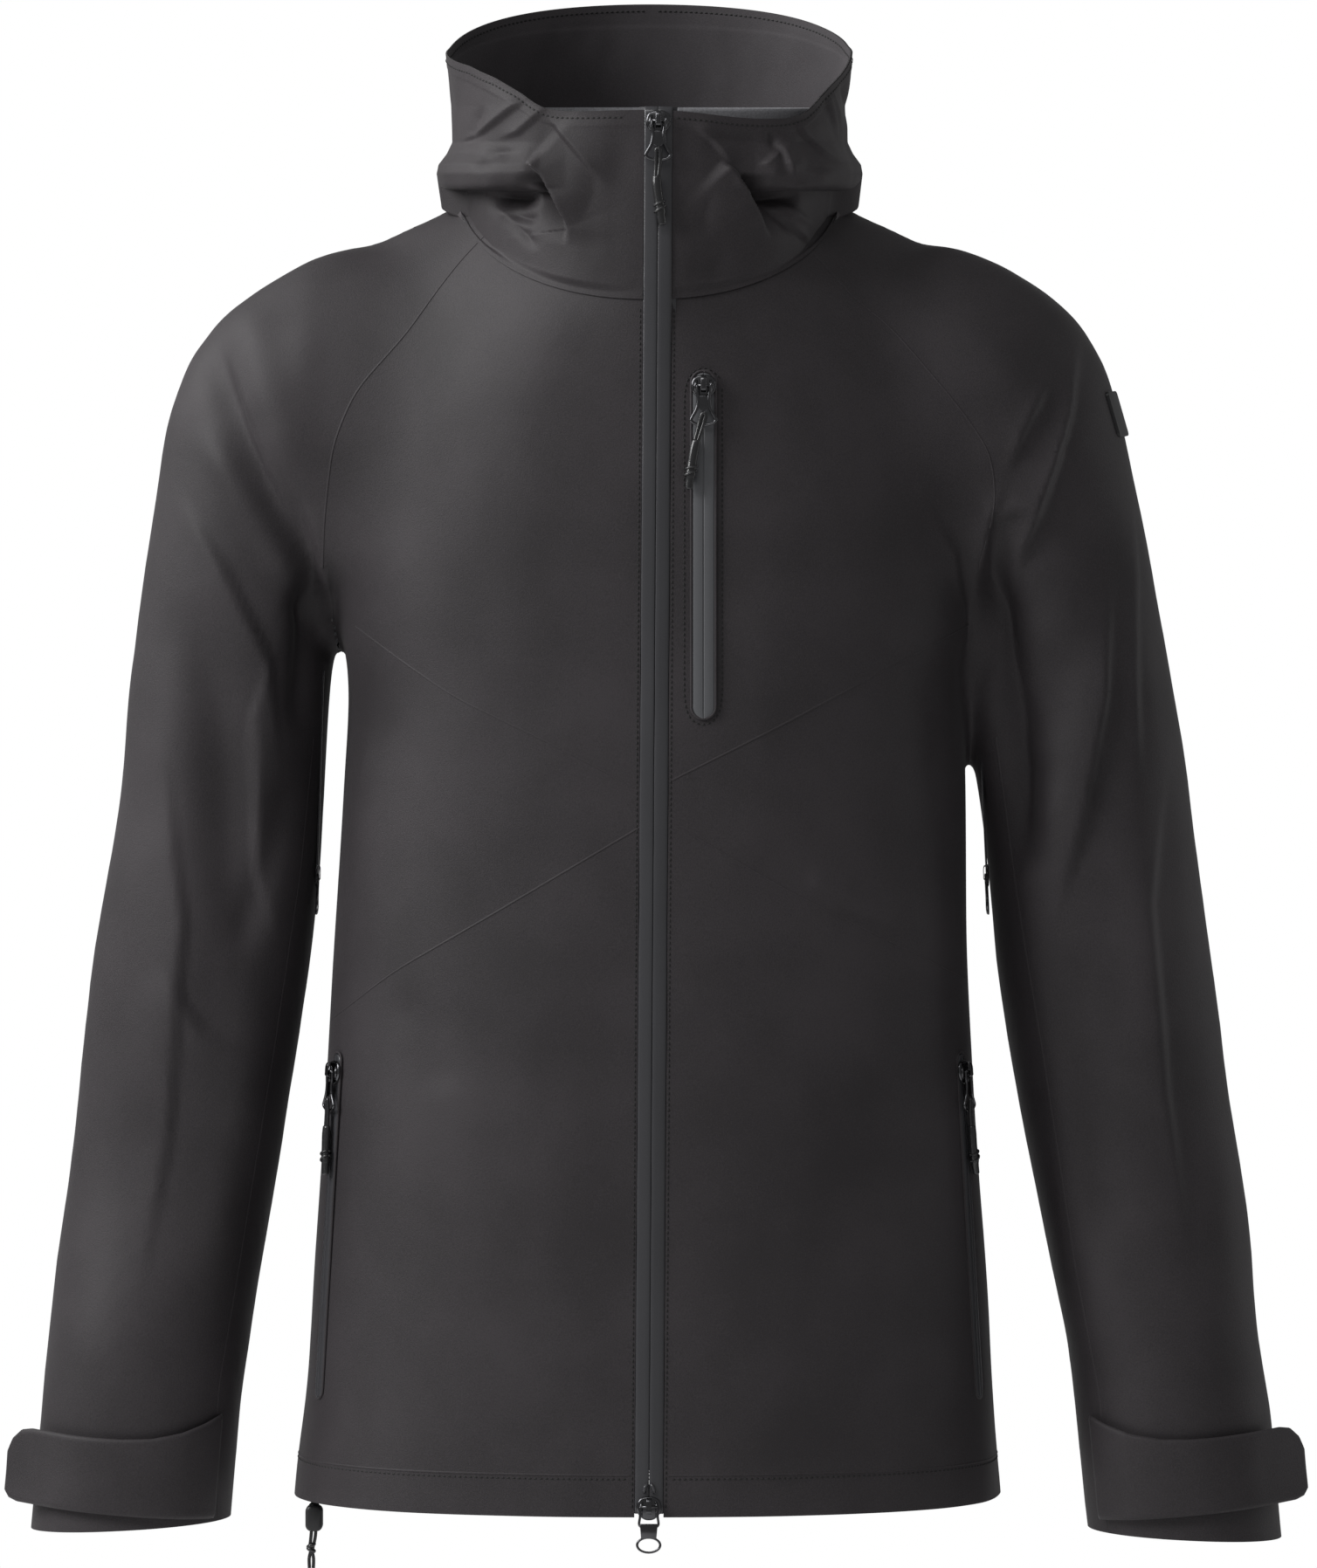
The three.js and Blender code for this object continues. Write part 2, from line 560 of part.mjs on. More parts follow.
function mainZip() {
  const group = frameGroup(zipPoint(0), zipPoint(MAIN_ZIP.top), new THREE.Vector3(0, -1, 0));
  const length = MAIN_ZIP.top - 2;
  const half = MAIN_ZIP.width / 2;
  const middle = 2 + length / 2;
  for (const which of ["right", "left"]) {
    const x = side[which] * (half / 2 + 0.1);
    const strip = box(half - 0.3, TAPE, length, x, TAPE / 2 - PROUD, middle);
    addSolid(group, `front_zip_tape_${which}`, strip, TAPE_LOOK);
  }
  const behind = TAPE - PROUD + 0.35;
  const coil = box(5, 1.2, length - RETAINER, 0, behind + 0.6, middle + RETAINER / 2);
  addSolid(group, "front_zip_coil", coil, PLASTIC_LOOK);
  const retainer = plate(roundedOutline(9.5, RETAINER - 3, 1, 0, RETAINER / 2 + 1), [], behind, behind + 2.4);
  addSolid(group, "front_zip_retainer", retainer, METAL_LOOK);
  addPullSet(group, "top", 753, PROUD, { length: 22 }, { lean: 0, drop: 16, grip: 26 });
  addPullSet(group, "bottom", 5, PROUD, { length: 26 }, null);
}

function chestZipGroup() {
  const at = (z) => new THREE.Vector3(CHEST_ZIP.x, frontY(z) + 0.25, z);
  return frameGroup(at(CHEST_ZIP.bottom), at(CHEST_ZIP.top), new THREE.Vector3(0, -1, 0));
}

const chestLength = CHEST_ZIP.top - CHEST_ZIP.bottom;

function chestZipSlot() {
  const grown = roundedOutline(CHEST_ZIP.width + 0.8, chestLength + 0.8, 6.3, 0, chestLength / 2);
  const group = chestZipGroup();
  jacket.remove(group);
  return outOfGroup(plate(grown, [], -20, 20), group);
}

function chestZip() {
  const group = chestZipGroup();
  const outline = roundedOutline(CHEST_ZIP.width, chestLength, 5.9, 0, chestLength / 2);
  addSolid(group, "chest_zip_tape", plate(outline, [], -PROUD, TAPE - PROUD), GREY_TAPE_LOOK);
  addPullSet(group, "chest", chestLength - 7.5, PROUD, { length: 19 }, { lean: 13, drop: 14, grip: 27 });
}

function handZipGroup(which) {
  const flip = (p) => new THREE.Vector3(side[which] * p[0], p[1], p[2]);
  const outward = new THREE.Vector3(side[which] * Math.cos(degrees(27)), -Math.sin(degrees(27)), 0);
  return frameGroup(flip(HAND_ZIP.bottom), flip(HAND_ZIP.top), outward);
}

const handLength = HAND_ZIP.top[2] - HAND_ZIP.bottom[2];

function handZipSlot(which) {
  const grown = roundedOutline(HAND_ZIP.width + 1, handLength + 1, 4.9, 0, handLength / 2);
  const group = handZipGroup(which);
  jacket.remove(group);
  return outOfGroup(plate(grown, [], -20, 20), group);
}

function handZip(which) {
  const group = handZipGroup(which);
  const outline = roundedOutline(HAND_ZIP.width, handLength, 4.4, 0, handLength / 2);
  const name = `hand_${which}`;
  addSolid(group, `${name}_zip_tape`, plate(outline, [], -PROUD - 0.3, TAPE - PROUD - 0.3), TAPE_LOOK);
  addPullSet(group, name, handLength - 10, PROUD + 0.3, { length: 22 }, { lean: 0, drop: 15, grip: 28 });
}

function pitZipGroup(which) {
  const at = (z) => {
    const station = { outer: [320, z], inner: [lerp(187.5, 182.8, (z - PIT_ZIP.bottom) / 148), z] };
    const inner = sleeveEdges(station, which, 0)[1];
    return new THREE.Vector3(side[which] * (inner.x - 0.8), -4, z);
  };
  const outward = new THREE.Vector3(-side[which], 0, 0);
  return frameGroup(at(PIT_ZIP.bottom), at(PIT_ZIP.top), outward);
}

const pitLength = PIT_ZIP.top - PIT_ZIP.bottom;

function pitZipSlot(which) {
  const grown = roundedOutline(PIT_ZIP.width + 0.8, pitLength + 0.8, 4.3, 0, pitLength / 2);
  const group = pitZipGroup(which);
  jacket.remove(group);
  return outOfGroup(plate(grown, [], -8, 8), group);
}

function pitZip(which) {
  const group = pitZipGroup(which);
  const outline = roundedOutline(PIT_ZIP.width, pitLength, 3.9, 0, pitLength / 2);
  const name = `pit_${which}`;
  addSolid(group, `${name}_zip_tape`, plate(outline, [], -0.2, TAPE - 0.2), TAPE_LOOK);
  addPullSet(group, name, 22, 0.2, { length: 22 }, null);
}

// ---- Pocket bags ----

function pocketBag(name, outline) {
  const gap = FABRIC + 1.6;
  const layer = torsoSolid(gap).subtract(torsoSolid(gap + 1.2));
  addSolid(jacket, name, layer.intersect(prismXZ(outline, -FAR, -20)), LINING_LOOK);
}

function pocketBags() {
  pocketBag("chest_pocket_bag", [[20, 415], [128, 415], [128, 585], [38, 620], [20, 620]]);
  for (const which of ["right", "left"]) {
    const outline = mirrorX([[45, 40], [168, 40], [166, 240], [110, 255], [45, 150]], which);
    pocketBag(`hand_${which}_pocket_bag`, outline);
  }
}

// ---- Cuffs ----

// A point at a distance from the cuff's face: angle 0 is the inner side, 90 degrees the front.
function cuffPoint(angle, off) {
  const [x, y] = roundPoint(angle, CUFF.half + off, CUFF.depth + off, SLEEVE_ROUND);
  return [x, -y];
}

function cuffBand(path, thick, low, high) {
  const outer = path.map(([angle, off]) => cuffPoint(degrees(angle), off + thick));
  const inner = path.map(([angle, off]) => cuffPoint(degrees(angle), off));
  return { outer, inner, low, high };
}

function bandSolid(band, flip) {
  const points = [...band.outer, ...[...band.inner].reverse()].map(([x, y]) => [flip * x, y]);
  const depth = band.high - band.low;
  const geometry = new THREE.ExtrudeGeometry(shapeOf(points), { depth, bevelEnabled: false });
  return solidOf(geometry.translate(0, 0, band.low));
}

const TAB = { sewn: 34, leaves: 134, tongue: 34, thick: 2, off: 2.9 };

function cuffTab(flip) {
  const angles = [TAB.sewn, 42, 50, 60, 72, 84, 96, 108, 121, TAB.leaves];
  const path = angles.map((angle, i) => [angle, Math.min(0.7 + i * 0.9, TAB.off)]);
  const band = cuffBand(path, TAB.thick, -40, 40);
  const last = band.outer.length - 1;
  for (const line of [band.outer, band.inner]) {
    const [x, y] = line[last];
    const direction = new THREE.Vector2(x - line[last - 1][0], y - line[last - 1][1]).normalize();
    line.push([x + direction.x * TAB.tongue, y + direction.y * TAB.tongue]);
  }
  const outline = new THREE.Shape();
  outline.moveTo(flip * 52, 33);
  outline.quadraticCurveTo(flip * 20, 15, flip * -20, 14);
  outline.lineTo(flip * -60, 14);
  outline.quadraticCurveTo(flip * -68, 14, flip * -68, 4);
  outline.lineTo(flip * -71, -12);
  outline.quadraticCurveTo(flip * -72, -22, flip * -62, -23);
  outline.lineTo(flip * 52, -23);
  return bandSolid(band, flip).intersect(plate(outline, [], -90, 40));
}

function cuff(which) {
  const flip = -side[which];
  const spread = SPREAD[which] * ((560 - CUFF.z) / 560);
  const lean = CUFF.tilt + SPREAD[which] / 560;
  const group = new THREE.Group();
  group.position.set(side[which] * (CUFF.x + spread), 0, CUFF.z);
  group.rotation.y = flip * Math.atan(lean);
  jacket.add(group);
  addSolid(group, `cuff_tab_${which}`, cuffTab(flip), FABRIC_LOOK);
  const loopPath = [70, 80, 90, 100, 110, 120, 130].map((angle) => [angle, 0.45]);
  const hookPath = [96, 104, 112, 121, 129].map((angle) => [angle, 1.6]);
  addSolid(group, `cuff_loop_patch_${which}`, bandSolid(cuffBand(loopPath, 0.8, -16, 8), flip), HOOK_LOOK);
  addSolid(group, `cuff_hook_patch_${which}`, bandSolid(cuffBand(hookPath, 0.8, -14, 6), flip), HOOK_LOOK);
}

// ---- Hem cord lock, hanger loop and sleeve patch ----

const LOCK = { x: -185, y: -30, top: -3.5, width: 9.5, depth: 9, height: 14.4 };

function hemLock() {
  const group = new THREE.Group();
  group.position.set(LOCK.x, LOCK.y, 0);
  jacket.add(group);
  const middle = LOCK.top - LOCK.height / 2;
  const outline = roundedOutline(LOCK.width, LOCK.height, 3, 0, middle);
  const shell = plate(outline, [], -LOCK.depth / 2, LOCK.depth / 2);
  const cordHole = rod(1.6, 40, "z", 0, 0, middle);
  const bore = rod(3.1, 8, "y", 0, -LOCK.depth / 2 + 3, middle, 16);
  addSolid(group, "cord_lock_body", shell.subtract(cordHole).subtract(bore), PLASTIC_LOOK);
  const button = rod(2.7, 8.4, "y", 0, -LOCK.depth / 2 + 0.6, middle, 16);
  const slot = box(3.4, 7, 20, 0, -LOCK.depth / 2 + 4.3, middle);
  addSolid(group, "cord_lock_button", button.subtract(slot), PLASTIC_LOOK);
  const points = [[0, 0, 5], [0, 0, -10], [0, 0, -20], [0, 0, -28]].map((p) => new THREE.Vector3(...p));
  const path = new THREE.CatmullRomCurve3(points);
  const section = new THREE.Shape().absarc(0, 0, 1.15, 0, 2 * Math.PI);
  const cord = solidOf(new THREE.ExtrudeGeometry(section, { steps: 6, extrudePath: path, curveSegments: 3 }));
  const knot = solidOf(new THREE.SphereGeometry(2.4, 10, 6).scale(1, 1, 0.9).translate(0, 0, -27.5));
  const tail = solidOf(new THREE.CylinderGeometry(1.0, 1.2, 10, 8).rotateX(Math.PI / 2).translate(0, 0, -34));
  addSolid(group, "hem_cord", union([cord, knot, tail]), CORD_LOOK);
}

function hangerLoop() {
  const top = box(HANGER.width, 7, 2, 0, HANGER.y, HANGER.z + 1);
  const legs = [-1, 1].map((s) => {
    return box(7, 7, HANGER.drop, s * (HANGER.width / 2 - 3.5), HANGER.y, HANGER.z - HANGER.drop / 2);
  });
  addSolid(jacket, "hanger_loop", union([top, ...legs]), LINING_LOOK);
}

function sleevePatch() {
  const at = (x, z) => new THREE.Vector3(x, 0, z);
  const outward = new THREE.Vector3(Math.cos(degrees(18)), 0, Math.sin(degrees(18)));
  const group = frameGroup(at(270.9, 588), at(262.6, 613.5), outward);
  const patch = plate(roundedOutline(22, 24, 2, -4, 13), [], -2.2, -0.9);
  addSolid(group, "sleeve_patch", patch, PLASTIC_LOOK);
}

shellPanels();
hoodPanels();
mainZip();
chestZip();
for (const which of ["right", "left"]) {
  handZip(which);
  pitZip(which);
  cuff(which);
}
pocketBags();
hemLock();
hangerLoop();
sleevePatch();

export default part;
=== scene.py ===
"""The looks of a hooded hardshell jacket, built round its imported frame.

Lengths in the functions are millimetres in the jacket's own drawing frame: z is 0 at the hem, the front
faces -y and x runs towards the wearer's left. place() turns them into the row frame's metres.
"""

import math

import bmesh
import bpy
import numpy as np
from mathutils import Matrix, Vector, noise
from mathutils.bvhtree import BVHTree


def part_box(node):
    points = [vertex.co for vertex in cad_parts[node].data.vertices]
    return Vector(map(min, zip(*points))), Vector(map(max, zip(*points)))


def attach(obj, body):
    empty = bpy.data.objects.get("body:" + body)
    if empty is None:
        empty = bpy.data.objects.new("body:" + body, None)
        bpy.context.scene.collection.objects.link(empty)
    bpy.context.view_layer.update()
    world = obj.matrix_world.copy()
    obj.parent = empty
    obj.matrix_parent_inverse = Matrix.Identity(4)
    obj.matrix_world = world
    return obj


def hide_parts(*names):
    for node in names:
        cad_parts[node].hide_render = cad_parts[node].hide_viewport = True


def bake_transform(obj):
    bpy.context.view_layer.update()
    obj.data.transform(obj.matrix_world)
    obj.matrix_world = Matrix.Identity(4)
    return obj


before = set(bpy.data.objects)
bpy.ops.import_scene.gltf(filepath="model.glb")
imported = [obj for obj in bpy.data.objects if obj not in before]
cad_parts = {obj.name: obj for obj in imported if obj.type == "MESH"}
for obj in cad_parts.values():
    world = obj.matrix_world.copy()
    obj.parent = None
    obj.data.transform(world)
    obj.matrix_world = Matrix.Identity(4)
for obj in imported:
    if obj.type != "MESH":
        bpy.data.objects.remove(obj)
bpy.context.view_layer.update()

# ---- Driving dimensions, mm ----

MM = 0.001
HEM_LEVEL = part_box("back_body")[0].z  # the hem's height in the row frame, m
ORIGIN_DEPTH = 0.070  # the row frame's origin is this far behind the drawing's, m
FRONT_Y, FRONT_LEAN = -116.0, 0.022
ZIP_SLANT = 5.2 / 762
ZIP_TOP, ZIP_HALF = 762.0, 7.0
SLOT_HALF = ZIP_HALF + 0.85
COLLAR_Z = 760.0
NECK_FRONT, NECK_SIDE, NECK_BACK, NECK_HALF, NECK_REAR = 659.0, 715.0, 706.0, 101.0, 86.0
RIM_HALF, RIM_REAR = 112.7, 84.0
ARMPIT = (178.0, 500.0)
AWAY = (0.928, -0.372)  # from the armpit into the sleeve, as x and z
BEND = (18.0, 65.0)  # how far past the armpit a raised sleeve would start and end to bend; bend() reckons these places but uses neither
SIDE_Y = 6.0
YOKE_Z = 560.0
VOXEL = 3.2
HEM_TURN = 22.0  # height of the hem's turned-up edge
GAP_X = 213.0  # at the hem, the body lies within this and the sleeves beyond it
# A hanging sleeve's front is flatter than its back and fullest nearer to the body; all of it hangs back.
CREST = {"right": 0.10, "left": 0.15}  # share of its half width
SLEEVE_FLAT = 0.14  # share of its half depth
SLEEVE_BACK = 14.0
CLOTH = 1.5
CHEST_ZIP = {"x": 29.5, "bottom": 430.0, "top": 617.0, "width": 12.0}
HAND_TOP, HAND_BOTTOM = (171.0, -41.0, 246.0), (181.5, -44.0, 57.0)
HAND_TURN = math.radians(27)  # the hand zips face this far forward of sideways
PIT_LOW, PIT_HIGH = (187.5, 322.0), (182.8, 470.0)  # a pit zip's ends as x and z
LEFT_SPREAD = 8.0  # how much farther out than the right sleeve the left one stands at the hem's height
SPREAD_FROM = 560.0  # height from which it does
SIDE = {"right": -1, "left": 1}
MIDDLE_HEIGHT, FLOOR_DROP = 0.42, 0.46  # m above and below the hem
VIEW = np.array([5.2, -3316.0, 394.8])  # where the jacket is looked at from
LOOK_Y = -116.0  # lines "as seen" are measured on this plane

# Body sections: height, half width right and left, depth of the back, roundness front and back.
TORSO = np.array([
    (-14, 198, 197, 104, 2.3, 2.3), (0, 197, 196, 104, 2.3, 2.3), (50, 191.5, 192, 104, 2.3, 2.3),
    (112, 187.7, 188.3, 104, 2.3, 2.3), (200, 181.3, 182, 105, 2.3, 2.3), (300, 176, 176.8, 108, 2.3, 2.3),
    (345, 172.8, 176.6, 111, 2.3, 2.3), (394, 169.8, 176.4, 114, 2.3, 2.3),
    (443, 167.5, 175, 118, 2.35, 2.3), (490, 171, 176, 120, 2.4, 2.3), (550, 182, 183, 120, 2.2, 2.2),
    (600, 185, 185, 116, 1.9, 2.0), (640, 183, 183, 110, 1.55, 1.8), (670, 177, 177, 103, 1.27, 1.55),
    (693, 166, 166, 96, 1.05, 1.3), (716, 108, 108, 88, 1.1, 1.3), (730, 96, 96, 84, 1.2, 1.4),
], float)

# Sleeve sections: outer edge x and z, inner edge x and z, half the depth.
SLEEVE = {
    "right": np.array([
        (95, 660, 95, 560, 40), (155, 697, 140, 530, 56), (188, 688.5, 160, 510, 66),
        (218, 672, 168, 500, 72), (240, 654, 171, 492, 74), (256, 633, 173, 484, 73),
        (268, 601, 175, 472, 71), (279, 545, 178, 455, 67), (286, 485, 179.5, 436, 63),
        (294, 408, 181.5, 400, 61), (301.7, 345, 184.6, 345, 59.5), (309, 297, 189.8, 297, 58.5),
        (316, 248, 196, 248, 57), (322.4, 199, 203.8, 199, 54), (327.6, 150, 212.6, 150, 51),
        (332.7, 102, 220.8, 102, 49), (338, 53, 227.5, 53, 47), (343.2, -4, 232, 0, 46.5),
        (346.4, -38, 235, -34, 46.5),
    ], float),
    "left": np.array([
        (95, 660, 95, 560, 40), (155, 699, 140, 530, 56), (189, 689.5, 160, 508, 66),
        (217, 672, 168, 494, 72), (239, 653, 170, 482, 74), (255, 627, 172, 468, 73),
        (265, 595, 173, 452, 71), (277, 540, 175, 434, 67), (288, 482, 179, 418, 63),
        (300, 408, 184, 394, 61), (308.5, 345, 190, 345, 59.5), (315.8, 297, 194.6, 297, 58.5),
        (322, 248, 201.8, 248, 57), (328.2, 199, 210, 199, 54), (334.4, 150, 219, 150, 51),
        (339.6, 102, 227.7, 102, 49), (345.8, 53, 237, 53, 47), (350.6, -4, 243, -8, 46.5),
        (354, -42, 247, -40, 46.5),
    ], float),
}
CUFF_EDGE = {"right": ((344.2, -19), (233.4, -13)), "left": ((351.6, -24), (244.2, -19))}

# Seams as (x, z) lines seen from the front.
RAGLAN = {
    "right": [
        (-84, 694), (-100, 678), (-114, 660), (-130, 637),
        (-158, 606), (-170, 577), (-174.5, 535), (-175, 511),
    ],
    "left": [
        (88.8, 679.6), (113.7, 652.4), (125.5, 645.3), (144.3, 624),
        (167.8, 596), (184.2, 572.5), (186.6, 544), (177, 511),
    ],
}
CHEST_SEAM = {
    "right": [(-4.4, 391), (-55, 417), (-105, 441), (-134, 461), (-158, 479)],
    "left": [(13, 396.5), (73.8, 427), (122, 453), (172, 480)],
}
WAIST_SEAM = {
    "right": [(-4.7, 371), (-86, 323), (-138, 293), (-173, 266)],
    "left": [(12.7, 373), (73.8, 337.5), (121, 314), (170, 290)],
}
UNDER_SEAM = {
    "right": [(-180, 420), (-187, 347), (-194, 300), (-201, 253), (-220, 135), (-231.7, 65), (-231.7, 0)],
    "left": [(186, 420), (196, 347), (203, 300), (211, 253), (229, 135), (243, 60), (246, -6)],
}


# ---- Small numeric helpers ----

def place(points):
    """Drawing millimetres to row-frame metres."""
    out = np.array(points, float) * MM
    out[..., 1] -= ORIGIN_DEPTH
    out[..., 2] += HEM_LEVEL
    return out


def smoothstep(t):
    t = np.clip(t, 0.0, 1.0)
    return t * t * (3 - 2 * t)


def tapered(share, start, end):
    """Rises over the first part of a line and falls over its last part."""
    return smoothstep(share / start) * smoothstep((1 - share) / end)


def front_y(z):
    return FRONT_Y + FRONT_LEAN * z


def neck_z(y):
    """Height of the neck seam's surface at a depth."""
    front = NECK_SIDE + (NECK_FRONT - NECK_SIDE) * y / front_y(NECK_FRONT)
    back = NECK_SIDE + (NECK_BACK - NECK_SIDE) * y / NECK_REAR
    return np.where(np.asarray(y) > 0, back, front)


def turn_angles(count, start=0.0):
    """Even steps round a full turn."""
    return (np.arange(count) + start) / count * 2 * np.pi


def hump(t, power=2):
    """1 in the middle, and falling away on both sides."""
    return np.exp(-(t ** power))


def off_zip(points):
    """Distance sideways from the middle line of the main zip."""
    return np.abs(points[:, 0] - ZIP_SLANT * points[:, 2])


def in_slot(points):
    """Whether points lie in the slot that the main zip fills."""
    return (off_zip(points) < SLOT_HALF) & (points[:, 1] < -20)


def read_at(at, steps, rows):
    """Rows given at some steps, read at others."""
    return np.array([np.interp(at, steps, column) for column in rows.T]).T


def lengths_along(points):
    """The length of a line up to each of its points."""
    return np.concatenate([[0], np.cumsum(np.linalg.norm(np.diff(points, axis=0), axis=1))])


def eased(rows, passes):
    """Rows with their corners rounded off; the first and the last stay."""
    for _ in range(passes):
        rows[1:-1] = 0.25 * rows[:-2] + 0.5 * rows[1:-1] + 0.25 * rows[2:]
    return rows


def resample(table, count, passes):
    """A station table at many even steps."""
    steps = np.linspace(0, len(table) - 1, count)
    return eased(read_at(steps, np.arange(len(table)), table), passes)


def soft_curve(xs, ys, x):
    """A smooth curve near the given points, read at x."""
    grid = np.linspace(xs[0], xs[-1], 400)
    return np.interp(x, grid, eased(np.interp(grid, xs, ys), 36))


def round_ring(angles, half_x, half_y, power):
    c, s = np.cos(angles), np.sin(angles)
    x = np.sign(c) * half_x * np.abs(c) ** (2 / power)
    y = np.sign(s) * half_y * np.abs(s) ** (2 / power)
    return x, y


def unit(v):
    v = np.asarray(v, float)
    return v / np.maximum(np.linalg.norm(v, axis=-1, keepdims=True), 1e-9)


def seen(points):
    """Where points appear on the front plane."""
    k = (points[:, 1] - VIEW[1]) / (LOOK_Y - VIEW[1])
    return VIEW[0] + (points[:, 0] - VIEW[0]) / k, VIEW[2] + (points[:, 2] - VIEW[2]) / k


def to_line(line, x, z):
    """Distance, share along and signed side of the nearest point of a line in the front view."""
    best = np.full(x.shape, 1e9)
    share = np.zeros(x.shape)
    signed = np.zeros(x.shape)
    line = np.array(line, float)
    lengths = np.hypot(*(line[1:] - line[:-1]).T)
    done = 0.0
    for a, b, length in zip(line[:-1], line[1:], lengths):
        d = (b - a) / length
        along = np.clip((x - a[0]) * d[0] + (z - a[1]) * d[1], 0, length)
        off_x, off_z = x - a[0] - along * d[0], z - a[1] - along * d[1]
        distance = np.hypot(off_x, off_z)
        near = distance < best
        best = np.where(near, distance, best)
        share = np.where(near, (done + along) / lengths.sum(), share)
        signed = np.where(near, np.sign(d[0] * off_z - d[1] * off_x) * distance, signed)
        done += length
    return best, share, signed


def along_line(line, step):
    """Points spaced evenly along a smoothed line."""
    line = np.array(line, float)
    lengths = lengths_along(line)
    count = max(3, int(lengths[-1] / step) + 1)
    points = read_at(np.linspace(0, lengths[-1], count), lengths, line)
    return eased(points, int(60 / step) if len(line) > 2 else 0)


# ---- Mesh helpers ----

def raw_object(name, points, faces):
    mesh = bpy.data.meshes.new(name)
    mesh.from_pydata(place(points).tolist(), [], faces)
    mesh.update()
    obj = bpy.data.objects.new(name, mesh)
    bpy.context.scene.collection.objects.link(obj)
    return obj


def piece(name, points, faces, look, body, nodes=(), slot="shell_fabric", blend=None):
    """A finished piece of the jacket, riding on a body, or, when blend is given, left on no body with its
    placement baked in.
    """
    obj = raw_object(name, points, [list(map(int, f)) for f in faces])
    obj.data.materials.append(LOOKS[look])
    obj.data.shade_smooth()
    if blend:
        bend(obj, blend)
    else:
        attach(obj, body)
    if nodes:
        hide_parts(*nodes)
    return obj


def bend(obj, which):
    """Bakes the placement of cloth that runs from the body into a sleeve, past the plane from the armpit over
    the shoulder, into its points; the start and end of the bend are reckoned but not used, so nothing bends.
    """
    away = np.array([SIDE[which] * AWAY[0], 0, AWAY[1]])
    armpit = np.array([SIDE[which] * ARMPIT[0], 0, ARMPIT[1]])
    start, end = place(armpit + away * BEND[0]), place(armpit + away * BEND[1])
    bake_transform(obj)


def grid_faces(rows, columns, wrap=False):
    faces = []
    for i in range(rows - 1):
        for j in range(columns if wrap else columns - 1):
            k = (j + 1) % columns
            a, b = i * columns + j, i * columns + k
            faces.append((a, b, b + columns, a + columns))
    return faces


def boundary(faces):
    """The edges of a sheet that only one face uses, in that face's direction."""
    edges = {(a, b) for f in faces for a, b in zip(f, f[1:] + f[:1])}
    return [(a, b) for a, b in edges if (b, a) not in edges]


def both_sides(faces, count):
    """A sheet's faces, the same turned over on its far side, and the walls round its border."""
    far = [tuple(v + count for v in reversed(f)) for f in faces]
    walls = [(b, a, a + count, b + count) for a, b in boundary(faces)]
    return faces + far + walls


def some_faces(faces, chosen):
    """The points that the chosen faces use, and those faces numbered by them."""
    own = [f for f, kept in zip(faces, chosen) if kept]
    used = np.unique(np.concatenate([np.array(f) for f in own]))
    local = {int(v): i for i, v in enumerate(used)}
    return used, [tuple(local[v] for v in f) for f in own]


def turned_over(faces):
    return [tuple(reversed(f)) for f in faces]


def merge(parts):
    """Several (points, faces) as one."""
    points, faces, start = [], [], 0
    for p, f in parts:
        points.append(np.asarray(p, float))
        faces += [tuple(int(i) + start for i in face) for face in f]
        start += len(p)
    return np.vstack(points), faces


def capped_loft(rings):
    rows, columns = len(rings), len(rings[0])
    faces = grid_faces(rows, columns, True)
    faces.append(tuple(reversed(range(columns))))
    faces.append(tuple(range((rows - 1) * columns, rows * columns)))
    return np.array(rings).reshape(-1, 3), faces


def tube(path, radii, sides=14, flat=1.0, closed=False):
    """A round or flattened tube along a 3D path."""
    path = np.array(path, float)
    radii = np.broadcast_to(np.asarray(radii, float), (len(path),))
    if closed:
        tangents = unit(np.roll(path, -1, 0) - np.roll(path, 1, 0))
    else:
        tangents = unit(np.gradient(path, axis=0))
    reference = np.array([0.0, -1.0, 0.0])
    rings = []
    angles = turn_angles(sides)
    for centre, tangent, radius in zip(path, tangents, radii):
        across = unit(np.cross(tangent, reference))
        over = np.cross(across, tangent)
        c, s = np.cos(angles)[:, None], np.sin(angles)[:, None]
        rings.append(centre + radius * (across * c + over * s * flat))
    if closed:
        rings.append(rings[0])
        return np.array(rings).reshape(-1, 3), grid_faces(len(rings), sides, True)
    return capped_loft(rings)


def curve3(points, count, closed=False):
    """A smooth curve through 3D points."""
    p = np.array(points, float)
    n = len(p)
    out = []
    spans = n if closed else n - 1
    for i in range(spans):
        a, b, c, d = (p[(i + k) % n] if closed else p[min(max(i + k, 0), n - 1)] for k in (-1, 0, 1, 2))
        for t in np.arange(count) / count:
            out.append(0.5 * (2 * b + (c - a) * t + (2 * a - 5 * b + 4 * c - d) * t * t
                              + (3 * b - a - 3 * c + d) * t ** 3))
    if not closed:
        out.append(p[-1])
    return np.array(out)


def plate(outline, near, far, bevel):
    """A plate on an (x, z) outline between two depths, with rounded edges."""
    outline = np.array(outline, float)
    tangents = unit(np.roll(outline, -1, 0) - np.roll(outline, 1, 0))
    inward = np.column_stack([-tangents[:, 1], tangents[:, 0]])
    area = np.sum(outline[:, 0] * np.roll(outline[:, 1], -1) - np.roll(outline[:, 0], -1) * outline[:, 1])
    inward *= np.sign(area)
    rings = []
    for share, y in ((1, near), (0.3, near + 0.3 * bevel), (0, near + bevel), (0, far - bevel), (1, far)):
        flat = outline + inward * bevel * share
        rings.append(np.column_stack([flat[:, 0], np.full(len(flat), y), flat[:, 1]]))
    if area > 0:
        rings = [ring[::-1] for ring in rings]
    points, faces = capped_loft(rings)
    return points, turned_over(faces)


def in_frame(part, axes):
    points, faces = part
    origin, basis = axes
    return origin + np.asarray(points) @ basis, faces


